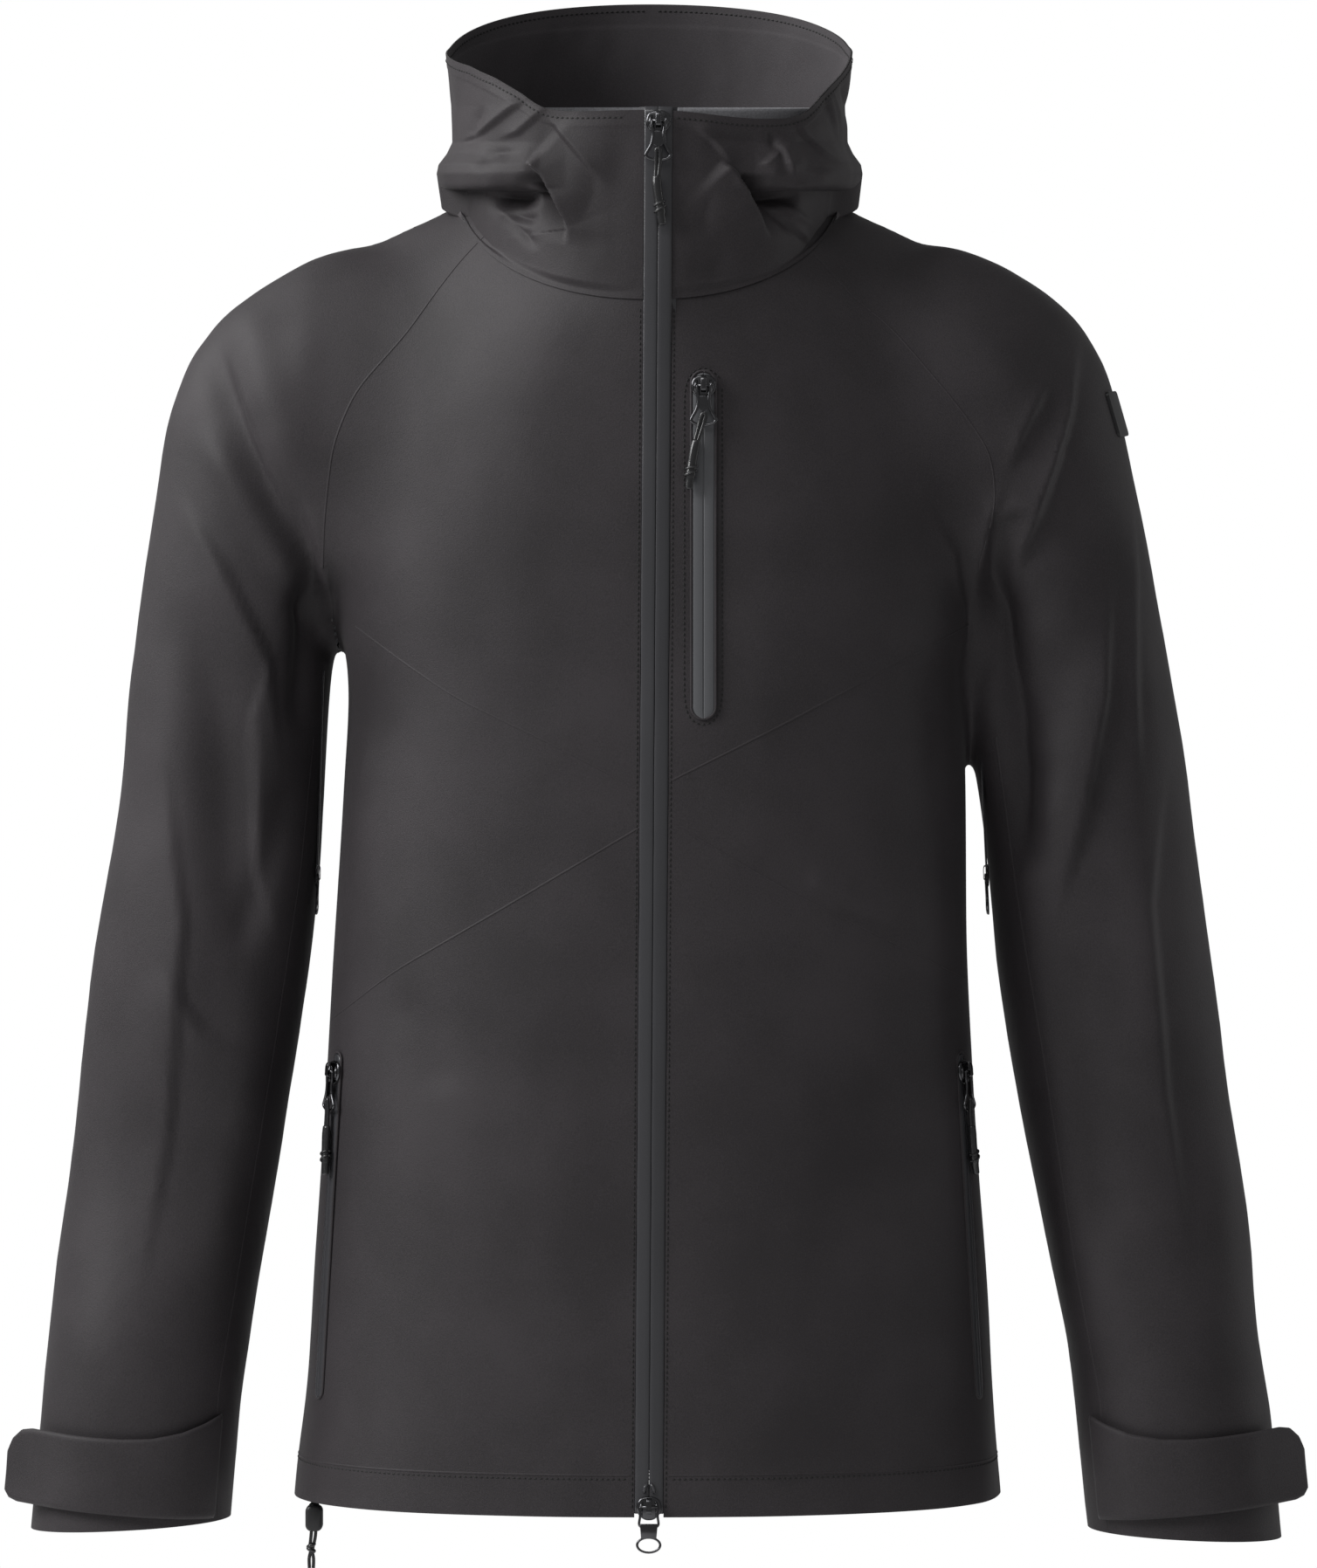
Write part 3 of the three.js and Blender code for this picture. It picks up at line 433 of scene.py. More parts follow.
def zip_axes(base, top, outward):
    """Origin and axes of a zip's own frame: x across, -y out of the cloth, z along."""
    base, top = np.array(base, float), np.array(top, float)
    up = unit(top - base)
    back = -np.array(outward, float)
    back = unit(back - up * (back @ up))
    return base, np.array([np.cross(back, up), back, up])


def shifted(axes, x=0.0, y=0.0, z=0.0, lean=0.0):
    """The same axes moved along themselves and turned in the zip's plane."""
    origin, basis = axes
    c, s = math.cos(lean), math.sin(lean)
    turned = np.array([c * basis[0] - s * basis[2], basis[1], s * basis[0] + c * basis[2]])
    return origin + x * basis[0] + y * basis[1] + z * basis[2], turned


# ---- Base shape of body and sleeves ----

def torso_rings():
    angles = turn_angles(180, 0.5)
    rings = []
    for z, right, left, back, front_round, back_round in resample(TORSO, 150, 14):
        rear = angles < np.pi
        power = np.where(rear, back_round, front_round)
        depth = np.where(rear, back, -front_y(z))
        half = np.where(np.cos(angles) > 0, left, right)
        x, y = round_ring(angles, half, depth, power)
        rings.append(np.column_stack([x, y, np.full(x.shape, z)]))
    return rings


def sleeve_rings(which):
    angles = turn_angles(120)
    rings = []
    for ox, oz, ix, iz, depth in resample(SLEEVE[which], 180, 8):
        along, y = round_ring(angles, 1.0, depth, 2.15)
        hanging = smoothstep((iz - 40) / 160) * smoothstep((700 - oz) / 60)
        along = along - CREST[which] * hanging * np.maximum(-y / depth, 0) * (1 - along ** 2)
        y = np.where(y < 0, y * (1 - SLEEVE_FLAT * hanging), y) + SLEEVE_BACK * hanging
        x = (ox + ix) / 2 + (ox - ix) / 2 * along
        z = (oz + iz) / 2 + (oz - iz) / 2 * along
        rings.append(np.column_stack([SIDE[which] * x, y, z]))
    return rings if which == "right" else [ring[::-1] for ring in rings]


def fused_skin():
    """Body and sleeves as one evenly meshed closed skin: points and faces."""
    solids = (torso_rings(), sleeve_rings("right"), sleeve_rings("left"))
    whole = raw_object("skin", *merge([capped_loft(rings) for rings in solids]))
    remesh = whole.modifiers.new("remesh", "REMESH")
    remesh.mode = "VOXEL"
    remesh.voxel_size = VOXEL * MM
    graph = bpy.context.evaluated_depsgraph_get()
    done = whole.evaluated_get(graph).to_mesh()
    points = np.zeros(len(done.vertices) * 3)
    done.vertices.foreach_get("co", points)
    faces = [tuple(p.vertices) for p in done.polygons]
    bpy.data.objects.remove(whole)
    points = points.reshape(-1, 3)
    points[:, 1] += ORIGIN_DEPTH
    points[:, 2] -= HEM_LEVEL
    return points / MM, faces


def edges_of(faces):
    pairs = np.array([(a, b) for f in faces for a, b in zip(f, f[1:] + f[:1])])
    return np.unique(np.sort(pairs, axis=1), axis=0)


def relax(points, edges, weight, passes):
    """Moves each point towards the mean of its neighbours by its weight."""
    count = np.bincount(edges.ravel(), minlength=len(points))[:, None]
    for _ in range(passes):
        total = np.zeros_like(points)
        for axis in range(3):
            total[:, axis] = np.bincount(edges[:, 0], points[edges[:, 1], axis], len(points))
            total[:, axis] += np.bincount(edges[:, 1], points[edges[:, 0], axis], len(points))
        points = points + weight[:, None] * (total / count - points)
    return points


def normals_of(points, faces):
    quads = np.array([f if len(f) == 4 else (f[0], f[1], f[2], f[2]) for f in faces])
    across = np.cross(points[quads[:, 2]] - points[quads[:, 0]], points[quads[:, 3]] - points[quads[:, 1]])
    normals = np.zeros_like(points)
    for corner in range(4):
        for axis in range(3):
            normals[:, axis] += np.bincount(quads[:, corner], across[:, axis], len(points))
    return unit(normals)


# ---- Folds of body and sleeves ----

# Each fold: its line as seen from the front, half width, and height (minus sinks in).
FOLDS = [
    ([(-236, 640), (-222, 600), (-200, 545), (-178, 512), (-168, 488)], 11, -5.0),
    ([(-222, 660), (-206, 610), (-186, 560)], 12, 2.5),
    ([(-242, 590), (-215, 545), (-192, 510), (-180, 490)], 9, 3.5),
    ([(-250, 500), (-232, 440), (-226, 380), (-222, 300)], 13, -3.5),
    ([(-266, 470), (-256, 400), (-250, 320), (-262, 200)], 18, 3.0),
    ([(-222, 300), (-205, 352), (-192, 400)], 9, -3.0),
    ([(-212, 290), (-218, 220), (-236, 120)], 14, 2.5),
    ([(-188, 512), (-182, 495), (-182, 470), (-187, 420)], 8, -9.0),
    ([(-196, 500), (-176, 478), (-168, 450)], 5, -2.5),
    ([(-160, 520), (-150, 470), (-150, 400)], 16, -2.5),
    ([(184, 532), (188, 470), (194, 400), (202, 340)], 14, -15.0),
    ([(206, 510), (203, 470), (206, 410)], 15, -5.0),
    ([(226, 480), (214, 430), (200, 380)], 16, -5.0),
    ([(268, 460), (262, 380), (268, 280), (280, 180)], 14, 3.0),
    ([(228, 290), (238, 220), (250, 130)], 14, -3.0),
    ([(150, 470), (158, 420), (150, 360)], 14, -2.0),
    ([(100, 328), (118, 322), (138, 312)], 5, -1.6),
    ([(85, 345), (112, 336)], 5, 1.4),
    ([(-140, 283), (-120, 262), (-110, 225)], 12, -1.5),
]


# Creases rise to a sharp edge on their line and fall away slowly on the right hand of its direction:
# line, height, reach.
CREASES = [
    ([(-166, 436), (-170, 470), (-178, 515), (-190, 556)], 8.0, 22),
    ([(-190, 528), (-214, 584), (-232, 636)], 6.5, 28),
    ([(-258, 560), (-228, 512), (-204, 462), (-198, 400)], 4.5, 34),
    ([(-198, 300), (-212, 350), (-214, 430), (-200, 480)], 4.5, 30),
    ([(-262, 300), (-240, 262), (-214, 250)], 3.0, 26),
    ([(-262, 440), (-248, 320), (-258, 200), (-276, 100)], 3.5, 44),
    ([(192, 560), (184, 536), (178, 492), (174, 440)], 10.0, 24),
    ([(233, 640), (227, 597), (217.5, 563.5), (203.5, 522), (190, 484)], 8.0, 20),
    ([(218, 616), (203.5, 588), (191, 558)], 5.0, 16),
    ([(214, 536), (197, 541), (180, 534)], 5.0, 16),
    ([(259, 556), (262, 500), (262, 440), (264, 380)], 4.0, 20),
    ([(248, 520), (246, 440), (236, 380), (214, 300)], 5.5, 34),
    ([(280, 420), (270, 330), (278, 230), (296, 120)], 4.0, 40),
    ([(150, 545), (164, 520), (170, 470)], 3.0, 20),
]


def fold(points, normals, line, width, height):
    x, z = seen(points)
    distance, share, _ = to_line(line, x, z)
    taper = smoothstep(share / 0.3 + 0.15) * smoothstep((1 - share) / 0.3 + 0.15)
    faced = smoothstep(-normals[:, 1] * 2.5 + 0.45)
    return height * hump(distance / width) * taper * faced


def one_sided(x, z, line, reach, edge, spread, taper):
    """A crease's share at each point: slow to one side, as steep as its edge is narrow to the other."""
    distance, share, signed = to_line(line, x, z)
    slow = np.exp(-np.maximum(-signed, 0) / reach * 1.7)
    steep = smoothstep((edge - signed) / (2 * edge))
    past_end = np.exp(-np.maximum(distance - np.abs(signed), 0) / spread)
    return slow * steep * past_end * tapered(share, taper, taper)


def crease(points, normals, line, height, reach):
    x, z = seen(points)
    faced = smoothstep(-normals[:, 1] * 2.5 + 0.3)
    return height * one_sided(x, z, line, reach, 2, 8, 0.4) * faced


def waves(points, size, seed):
    """Smooth noise, stretched upright."""
    stretched = points / np.array([size, size, size * 1.8]) + np.array([seed, 0, 0])
    return np.array([noise.noise(Vector(p)) for p in stretched])


def joined_smoothly(points, edges):
    """Softens the armholes, and the slopes of the shoulders in front and behind but not their outline."""
    ax, z = np.abs(points[:, 0]), points[:, 2]
    armhole = hump((ax - 185) / 45) * hump((z - 560) / 110)
    points = relax(points, edges, 0.25 + 0.7 * armhole, 14)
    slope = hump((ax - 150) / 62, 4) * hump((z - 622) / 92, 4)
    off_outline = smoothstep((np.abs(points[:, 1]) - 12) / 26)
    return relax(points, edges, slope * (0.03 + 0.9 * off_outline), 240)


def uneven(points, ax, z):
    """The cloth's small waves, calm round the zips, the neck and the cuffs."""
    calm = smoothstep((np.abs(points[:, 0] - ZIP_SLANT * z) - 12) / 50)
    calm *= smoothstep((neck_z(points[:, 1]) - z) / 30)
    pocket = np.maximum(np.abs(points[:, 0] - CHEST_ZIP["x"]) - 10, np.abs(z - 523) - 105)
    calm *= np.where(points[:, 1] < 0, smoothstep(pocket / 25), 1)
    calm *= np.where(ax > 205, smoothstep((z - 35) / 60), 1)
    sleeve = smoothstep((ax - 175) / 20)
    broad = waves(points, 70, 3.1) * (1.6 + 1.6 * sleeve)
    fine = waves(points, 26, 9.4) * (0.35 + 0.4 * sleeve)
    return (broad + fine) * calm


def folded_skin():
    points, faces = fused_skin()
    edges = edges_of(faces)
    ax, z = np.abs(points[:, 0]), points[:, 2]
    points = joined_smoothly(points, edges)
    normals = normals_of(points, faces)
    shift = uneven(points, ax, z)
    for line, width, height in FOLDS:
        shift += fold(points, normals, line, width, height)
    for line, height, reach in CREASES:
        shift += crease(points, normals, line, height, reach)
    flank = 1 - hump((ax - 178) / 14) * smoothstep((478 - z) / 50)
    points = points + normals * (shift * flank)[:, None]
    points = relax(points, edges, np.full(len(points), 0.35), 1)
    return cut_open(points, faces)


def editable(points, faces):
    mesh = bpy.data.meshes.new("cut")
    mesh.from_pydata(points.tolist(), [], faces)
    bm = bmesh.new()
    bm.from_mesh(mesh)
    bpy.data.meshes.remove(mesh)
    return bm


def taken(bm):
    """An edited mesh's points and faces."""
    bm.verts.index_update()
    points = np.array([v.co for v in bm.verts])
    faces = [tuple(v.index for v in f.verts) for f in bm.faces]
    bm.free()
    return points, faces


def cut(bm, chosen, at, normal, clear=True):
    """Cuts the chosen faces along a plane, and clears what is past it."""
    parts = {v for f in chosen for v in f.verts} | {e for f in chosen for e in f.edges} | set(chosen)
    bmesh.ops.bisect_plane(bm, geom=list(parts), dist=1e-4, plane_co=at, plane_no=normal, clear_outer=clear)


def cut_open(points, faces):
    """Trims hem and cuffs to clean edges, and cuts the front slot's sides."""
    bm = editable(points, faces)
    low = [f for f in bm.faces if f.calc_center_median().z < 12]
    hem = [f for f in low if abs(f.calc_center_median().x) < GAP_X]
    cut(bm, hem, (0, 0, 0), (0, 0, -1))
    for which, (outer, inner) in CUFF_EDGE.items():
        s = SIDE[which]
        down = (s * (outer[1] - inner[1]), 0, -(outer[0] - inner[0]))
        low = [f for f in bm.faces if f.calc_center_median().z < 12]
        cuff = [f for f in low if f.calc_center_median().x * s > GAP_X]
        cut(bm, cuff, (s * outer[0], 0, outer[1]), down)
    open_front(bm)
    return taken(bm)


def open_front(bm):
    """Cuts along both sides of the main zip's slot."""
    for s in (-1, 1):
        across = Vector((1, 0, -ZIP_SLANT)).normalized() * s
        chosen = []
        for f in bm.faces:
            c = f.calc_center_median()
            if c.y < -20 and abs(c.x - ZIP_SLANT * c.z) < 14:
                chosen.append(f)
        cut(bm, chosen, across * SLOT_HALF, across, clear=False)


# ---- Panels ----

# Between the body's side and the sleeve: heights and x.
FLANK = ([-40, 0, 100, 200, 300, 400, 450, 500], [216, 214, 204, 192, 183, 178, 177.7, 178])


def seam_height(seam, x):
    """A front seam's height at each x."""
    return np.interp(np.abs(x), *np.array([(abs(a), b) for a, b in seam]).T)


def seam_x(seam, z):
    """A sleeve seam's distance from the middle at each height."""
    return np.interp(z, *np.array(sorted((b, abs(a)) for a, b in seam)).T)


def panel_names(c):
    """The CAD node each point of the skin belongs to; an empty name where there is no cloth."""
    x, y, z = c.T
    ax = np.abs(x)
    left = x > 0
    seen_x, seen_z = seen(c)
    names = np.full(len(c), "", dtype=object)
    past = (ax - ARMPIT[0]) * AWAY[0] + (z - ARMPIT[1]) * AWAY[1] > 0
    for which in SIDE:
        on = left if which == "left" else ~left
        raglan = seam_x(RAGLAN[which] + [(84, 760)], seen_z)
        outside = ax > np.where(z < ARMPIT[1], np.interp(z, *FLANK), raglan)
        inner = (ax < seam_x(UNDER_SEAM[which], seen_z)) & (z < 540)
        sleeve = outside & on
        names[sleeve & ~past] = f"shoulder_{which}"
        names[sleeve & past] = f"sleeve_{which}"
        names[sleeve & past & inner] = f"under_sleeve_{which}"
        front = on & ~outside & (y <= SIDE_Y)
        chest = seam_height(CHEST_SEAM[which], seen_x)
        waist = seam_height(WAIST_SEAM[which], seen_x)
        names[front & (seen_z > chest)] = f"front_chest_{which}"
        names[front & (seen_z <= chest) & (seen_z > waist)] = f"front_waist_{which}"
        names[front & (seen_z <= waist)] = f"front_hem_{which}"
        back = on & ~outside & (y > SIDE_Y)
        names[back & (z > YOKE_Z)] = "back_yoke"
        names[back & (z <= YOKE_Z)] = "back_body"
    names[in_slot(c)] = ""
    reach = np.where(y < 0, -front_y(NECK_FRONT) + 3, NECK_REAR + 3)
    in_neck = (x / (NECK_HALF - 4)) ** 2 + (y / reach) ** 2 < 1
    names[(z > neck_z(y) + 4) & in_neck] = ""
    return names


def cloth_pieces(points, faces, names, outside, inside, blends):
    """One thick piece for each name, sharing its borders and its shading with the next."""
    normals = normals_of(points, faces)
    for name in sorted(set(names) - {""}):
        used, own = some_faces(faces, names == name)
        p, n = points[used], normals[used]
        obj = raw_object(name + "_cloth", np.vstack([p, p - n * CLOTH]), both_sides(own, len(p)))
        mesh = obj.data
        mesh.materials.append(LOOKS[outside])
        mesh.materials.append(LOOKS[inside])
        index = np.zeros(len(mesh.polygons), np.int32)
        index[len(own):2 * len(own)] = 1
        mesh.polygons.foreach_set("material_index", index)
        mesh.shade_smooth()
        mesh.normals_split_custom_set_from_vertices(np.vstack([n, -n]).tolist())
        if name in blends:
            bend(obj, blends[name])
        else:
            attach(obj, "root")
        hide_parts(name)


# ---- Seams and stitches on a surface ----

def tree_of(points, faces):
    return BVHTree.FromPolygons([Vector(p) for p in points], faces)


def cast(tree, x, z):
    """The first point of a surface behind a point of the front view, and its normal."""
    origin = Vector(VIEW)
    toward = (Vector((x, LOOK_Y, z)) - origin).normalized()
    hit, normal, _, _ = tree.ray_cast(origin, toward)
    return hit, normal


def on_surface(tree, line, step):
    """Places and normals under a line of the front view."""
    found = []
    for x, z in along_line(line, step):
        hit, normal = cast(tree, x, z)
        if hit is not None:
            found.append((np.array(hit), np.array(normal)))
    places = np.array([f[0] for f in found])
    normals = np.array([f[1] for f in found])
    for _ in range(4):
        normals[1:-1] = unit(normals[:-2] + normals[1:-1] + normals[2:])
    return places, normals


# A lapped seam's section: distance across and height.
LAP = [(-0.15, -0.5), (0.0, 0.14), (0.25, 0.26), (0.55, 0.26), (1.7, -0.25), (2.0, -0.5)]


def lap(places, normals, flip=1):
    """A lapped seam: a low step along a line, falling away to one side."""
    tangents = unit(np.gradient(places, axis=0))
    across = unit(np.cross(normals, tangents)) * flip
    rows = [[p + a * s + n * h for s, h in LAP] for p, n, a in zip(places, normals, across)]
    faces = grid_faces(len(rows), len(LAP))
    if flip > 0:
        faces = turned_over(faces)
    return np.array(rows).reshape(-1, 3), faces


def stitches(places, normals):
    """A row of short threads lying on a line."""
    pitch, length, wide, high = 3.0, 2.0, 0.48, 0.36
    steps = lengths_along(places)
    parts = []
    for at in np.arange(pitch, steps[-1] - pitch, pitch):
        centre = read_at(at, steps, places)
        ahead = read_at(at + length / 2, steps, places)
        normal = unit(read_at(at, steps, normals))
        along = unit(ahead - centre)
        across = np.cross(normal, along)
        centre = centre + normal * 0.12
        ring = [centre + along * a * length / 2 + across * b * wide for a, b in
                ((-1, 0), (-0.6, 1), (0.6, 1), (1, 0), (0.6, -1), (-0.6, -1))]
        crown = [centre + along * a * length * 0.32 + normal * high for a in (-1, 1)]
        faces = [(0, 1, 6), (1, 2, 7, 6), (2, 3, 7), (3, 4, 7), (4, 5, 6, 7), (5, 0, 6)]
        parts.append((np.array(ring + crown), turned_over(faces)))
    return merge(parts)


# ---- Hood ----

# Height of the opening's edge, front (-1) to rear (1) of the hood.
RIM_AT = [-1, -0.94, -0.866, -0.819, -0.766, -0.669, -0.485, -0.087, 0.174, 1]
RIM_HEIGHT = {
    "right": [759.5, 759, 761.5, 767, 773.5, 781, 789.5, 800.5, 807, 842],
    "left": [759.5, 756.8, 756.2, 756.6, 757.2, 761, 778, 801.5, 808, 842],
}
# The hood's slack, rolled over the collar: how far out at each height seen, and how much round the turn.
ROLL_Z = [700, 712, 715, 715.8, 717, 719, 723, 728, 734, 740, 760, 801]
ROLL_OUT = [0, -0.1, 0.0, 0.55, 0.82, 0.94, 1.0, 0.88, 0.50, 0.24, 0.08, 0]
ROLL_TURN = [0, 24, 31, 36, 44, 52, 66, 80, 112, 140, 180]
ROLL_SIZE = [0, 0, 2.0, 7.5, 11.0, 13.0, 14.0, 14.5, 16.0, 13.0, 10.0]

HOOD_TURNS, HOOD_ROWS = 560, 150
LINING_ROWS, LINING_INSET = 16, 3.4


def hood_turns():
    return turn_angles(HOOD_TURNS, 0.5) - np.pi


def hood_edges():
    """The hood's neck ring, its opening's ring, the way outward, and degrees round from the front."""
    turn = hood_turns()
    rim = np.where(turn < 0, soft_curve(RIM_AT, RIM_HEIGHT["right"], -np.cos(turn)),
                   soft_curve(RIM_AT, RIM_HEIGHT["left"], -np.cos(turn)))
    rear = np.cos(turn) < 0
    low = np.column_stack([NECK_HALF * np.sin(turn),
                           np.where(rear, NECK_REAR, -front_y(NECK_FRONT)) * -np.cos(turn),
                           np.zeros(HOOD_TURNS)])
    low[:, 2] = neck_z(low[:, 1])
    high = np.column_stack([RIM_HALF * np.sin(turn),
                            np.where(rear, RIM_REAR, -front_y(COLLAR_Z)) * -np.cos(turn), rim])
    outward = unit(np.column_stack([low[:, 0], low[:, 1], np.zeros(HOOD_TURNS)]))
    return low, high, outward, np.degrees(np.abs(turn))


def hood_rings(rows):
    """Rings of the hood's outer face from the neck seam (0) to the opening's edge (1)."""
    low, high, outward, degrees = hood_edges()
    behind = np.where(degrees > 90, np.cos(np.radians(degrees)) ** 2, 0)
    back_swell = 27 * np.sin(np.pi * np.clip(rows, 0, 1) ** 0.5) + 10 * np.clip(rows, 0, 1)
    rings = []
    for row, back in zip(rows, back_swell):
        ring = low + (high - low) * row
        z = seen(ring)[1]
        size = np.interp(degrees, ROLL_TURN, ROLL_SIZE)
        share = np.interp(z, ROLL_Z, ROLL_OUT)
        hanging = smoothstep((degrees - 74) / 12) * (z < 722) * smoothstep(row / 0.05)
        share = np.maximum(share, hanging)
        ring = ring + outward * (size * share * (1 - behind) + back * behind)[:, None]
        droop = 3.2 * share * smoothstep((724 - z) / 6) * (degrees < 90) * (size > 3) * (z > 714)
        ring[:, 2] -= droop * (1 - hanging)
        rings.append(ring)
    return np.array(rings), outward


# The edges where the rolled slack stands over the collar's flat front: line, height, reach, depth beside it.
HOOD_RIDGES = [
    ([(-66, 730), (-57.5, 723), (-50.5, 709.5), (-44, 694), (-45, 684)], 8.0, 20, 10.5),
    ([(39, 731), (47.5, 723), (57, 709.5), (62, 698), (66, 686)], 6.0, 24, 8.0),
]
# Folds: line, half width, height (minus sinks in).
HOOD_FOLDS = [
    ([(-88, 711), (-72, 710), (-58, 713)], 6.0, -12.0),
    ([(-80, 702), (-66, 699), (-58, 702)], 4.0, -4.0),
    ([(-74, 771), (-67, 764), (-62, 758)], 2.6, -2.6),
    ([(-66, 770), (-58, 761), (-54, 752)], 3.0, 2.2),
    ([(-88, 760), (-94, 746), (-99, 734)], 3.5, -2.2),
    ([(-96, 727), (-82, 734), (-66, 736)], 3.6, -2.6),
    ([(-38, 694), (-30, 712), (-28, 736)], 8.0, -1.6),
    ([(-76, 700), (-66, 689), (-58, 680)], 3.0, -2.4),
    ([(-84, 706), (-72, 696), (-64, 690)], 2.4, 1.8),
    ([(52, 713), (66, 710), (84, 711)], 6.0, -10.0),
    ([(80, 731), (90, 727), (102, 724)], 3.4, -2.2),
    ([(30, 744), (56, 741), (74, 736)], 5.0, -2.4),
    ([(64, 748), (66.5, 741), (68, 733)], 2.2, -2.2),
    ([(64, 708), (73, 696), (85, 687)], 3.0, -2.8),
    ([(70, 710), (80, 700), (92, 692)], 2.6, 2.2),
    ([(14, 668), (34, 672), (52, 684)], 9.0, -1.4),
    ([(92, 768), (97, 754), (100, 738)], 2.2, -2.4),
    ([(97, 772), (101, 756), (104, 742)], 2.0, 2.0),
    ([(103, 776), (106, 760), (107, 744)], 1.8, -1.8),
    ([(34, 715), (30, 700), (33, 684)], 6.0, -1.6),
]


# One-sided folds of the hood, as CREASES.
HOOD_CREASES = [
    ([(-60, 767), (-74.6, 756.5), (-88, 746), (-104, 739)], 3.2, 14),
    ([(-52, 762), (-62, 752), (-70, 745), (-82, 741)], 2.6, 9),
    ([(-22, 714), (-38, 734), (-58, 757)], 3.0, 22),
    ([(78, 718), (70.5, 736), (66, 742)], 4.0, 12),
    ([(59, 727), (70, 737)], 2.6, 8),
    ([(105, 727), (92, 734), (82, 744), (76, 756)], 3.0, 12),
    ([(96, 770), (99, 756), (102, 742)], 3.0, 8),
    ([(47, 725), (34, 741), (18, 752)], 2.6, 16),
    ([(88, 684), (76, 694), (68, 706)], 3.2, 12),
]


def hood_ridge(x, z, line, height, reach, depth):
    """Rolled slack that stands up on its outer side and drops to the collar's flat front."""
    distance, share, signed = to_line(line, x, z)
    outer = np.where(line[0][0] < 0, signed, -signed)
    lit = height * np.exp(-np.maximum(outer, 0) / reach * 1.6) * smoothstep((outer + 1.6) / 3.2)
    dark = depth * hump(np.maximum(-outer, 0) / 11, 1.5) * smoothstep((1.6 - outer) / 3.2)
    under = smoothstep((724 - z) / 5)
    past_end = np.exp(-np.maximum(distance - np.abs(signed), 0) / 5)
    return (lit - dark * under) * tapered(share, 0.12, 0.5) * past_end


def hood_fold(x, z, line, width, height):
    distance, share, _ = to_line(line, x, z)
    ridge = hump(distance / width) * 0.5 + np.exp(-distance / width * 1.3) * 0.5
    return height * ridge * tapered(share + 0.08, 0.4, 0.4)


def hood_shift(points, facing):
    """How far the hood's cloth stands out from its plain shape."""
    x, z = seen(points)
    shift = np.zeros(len(points))
    for ridge in HOOD_RIDGES:
        shift += hood_ridge(x, z, *ridge)
    for line, height, reach in HOOD_CREASES:
        shift += height * one_sided(x, z, line, reach, 1.2, 5, 0.35)
    for line, width, height in HOOD_FOLDS:
        shift += hood_fold(x, z, line, width, height)
    shift *= smoothstep((facing + 0.12) * 5)
    calm = smoothstep((off_zip(points) - 10) / 22)
    return (shift + waves(points, 30, 5.0) * 1.5 + waves(points, 12, 2.0) * 0.4) * calm


def hood_skin(body_tree):
    rows = np.linspace(-0.02, 1, HOOD_ROWS)
    rings, outward = hood_rings(rows)
    flat = rings.reshape(-1, 3)
    out = np.tile(outward, (HOOD_ROWS, 1))
    height = np.repeat(rows, HOOD_TURNS)
    held = smoothstep(height / 0.07) * (0.35 + 0.65 * smoothstep((1 - height) / 0.10))
    flat = flat + out * (hood_shift(flat, -out[:, 1]) * held)[:, None]
    hem = np.clip(1 - (1 - height) * 10.5, 0, 1)
    flat = flat + out * (0.25 * smoothstep(hem * 8))[:, None]
    for i in np.nonzero(height < 0.05)[0]:
        near, normal, _, _ = body_tree.find_nearest(Vector(flat[i]))
        if near is not None:
            lie = np.array(near) + np.array(normal) * 0.9
            flat[i] = flat[i] + (lie - flat[i]) * float(smoothstep((0.05 - height[i]) / 0.04))
    faces = grid_faces(HOOD_ROWS, HOOD_TURNS, True)
    edges = edges_of(faces)
    flat = relax(flat, edges, np.full(len(flat), 0.3) * ((height > 0.03) & (height < 0.985)), 1)
    bm = editable(flat, faces)
    open_front(bm)
    return taken(bm)


def build_hood(body_tree):
    points, faces = hood_skin(body_tree)
    c = centres(points, faces)
    sides = np.where(c[:, 0] < 0, "hood_side_right", "hood_side_left")
    names = np.where((np.abs(c[:, 0]) < 62) & (c[:, 1] > 10), "hood_centre", sides).astype(object)
    names[in_slot(c)] = ""
    # The hood's inner faces get a colour lightened as painted light.
    cloth_pieces(points, faces, names, "fabric", "hood_inside_lightened", {})
    hood_stitches(tree_of(points, [f for f, n in zip(faces, names) if n]))
    collar_lining()


def hood_stitches(tree):
    """Stitches along the opening's edge, outside and in, and along the top of the collar's lining."""
    rings, _ = hood_rings(np.array([1.0]))
    turn = np.degrees(hood_turns())
    parts = []
    for chosen in (turn < -5, turn > 5):
        found = [tree.find_nearest(Vector(p - np.array([0, 0, 4.0]))) for p in rings[0][chosen]]
        places = np.array([f[0] for f in found])
        normals = unit(np.array([f[1] for f in found]))
        parts.append(stitches(places, normals))
        parts.append(stitches(places - normals * CLOTH, -normals))
    places, normals = on_surface(tree, [(-34, 760.6), (20, 760.8), (79, 760.2)], 3)
    normals *= np.sign(-normals[:, 1])[:, None]
    parts.append(stitches(places, normals))
    piece("hood_stitches", *merge(parts), "thread", "root")


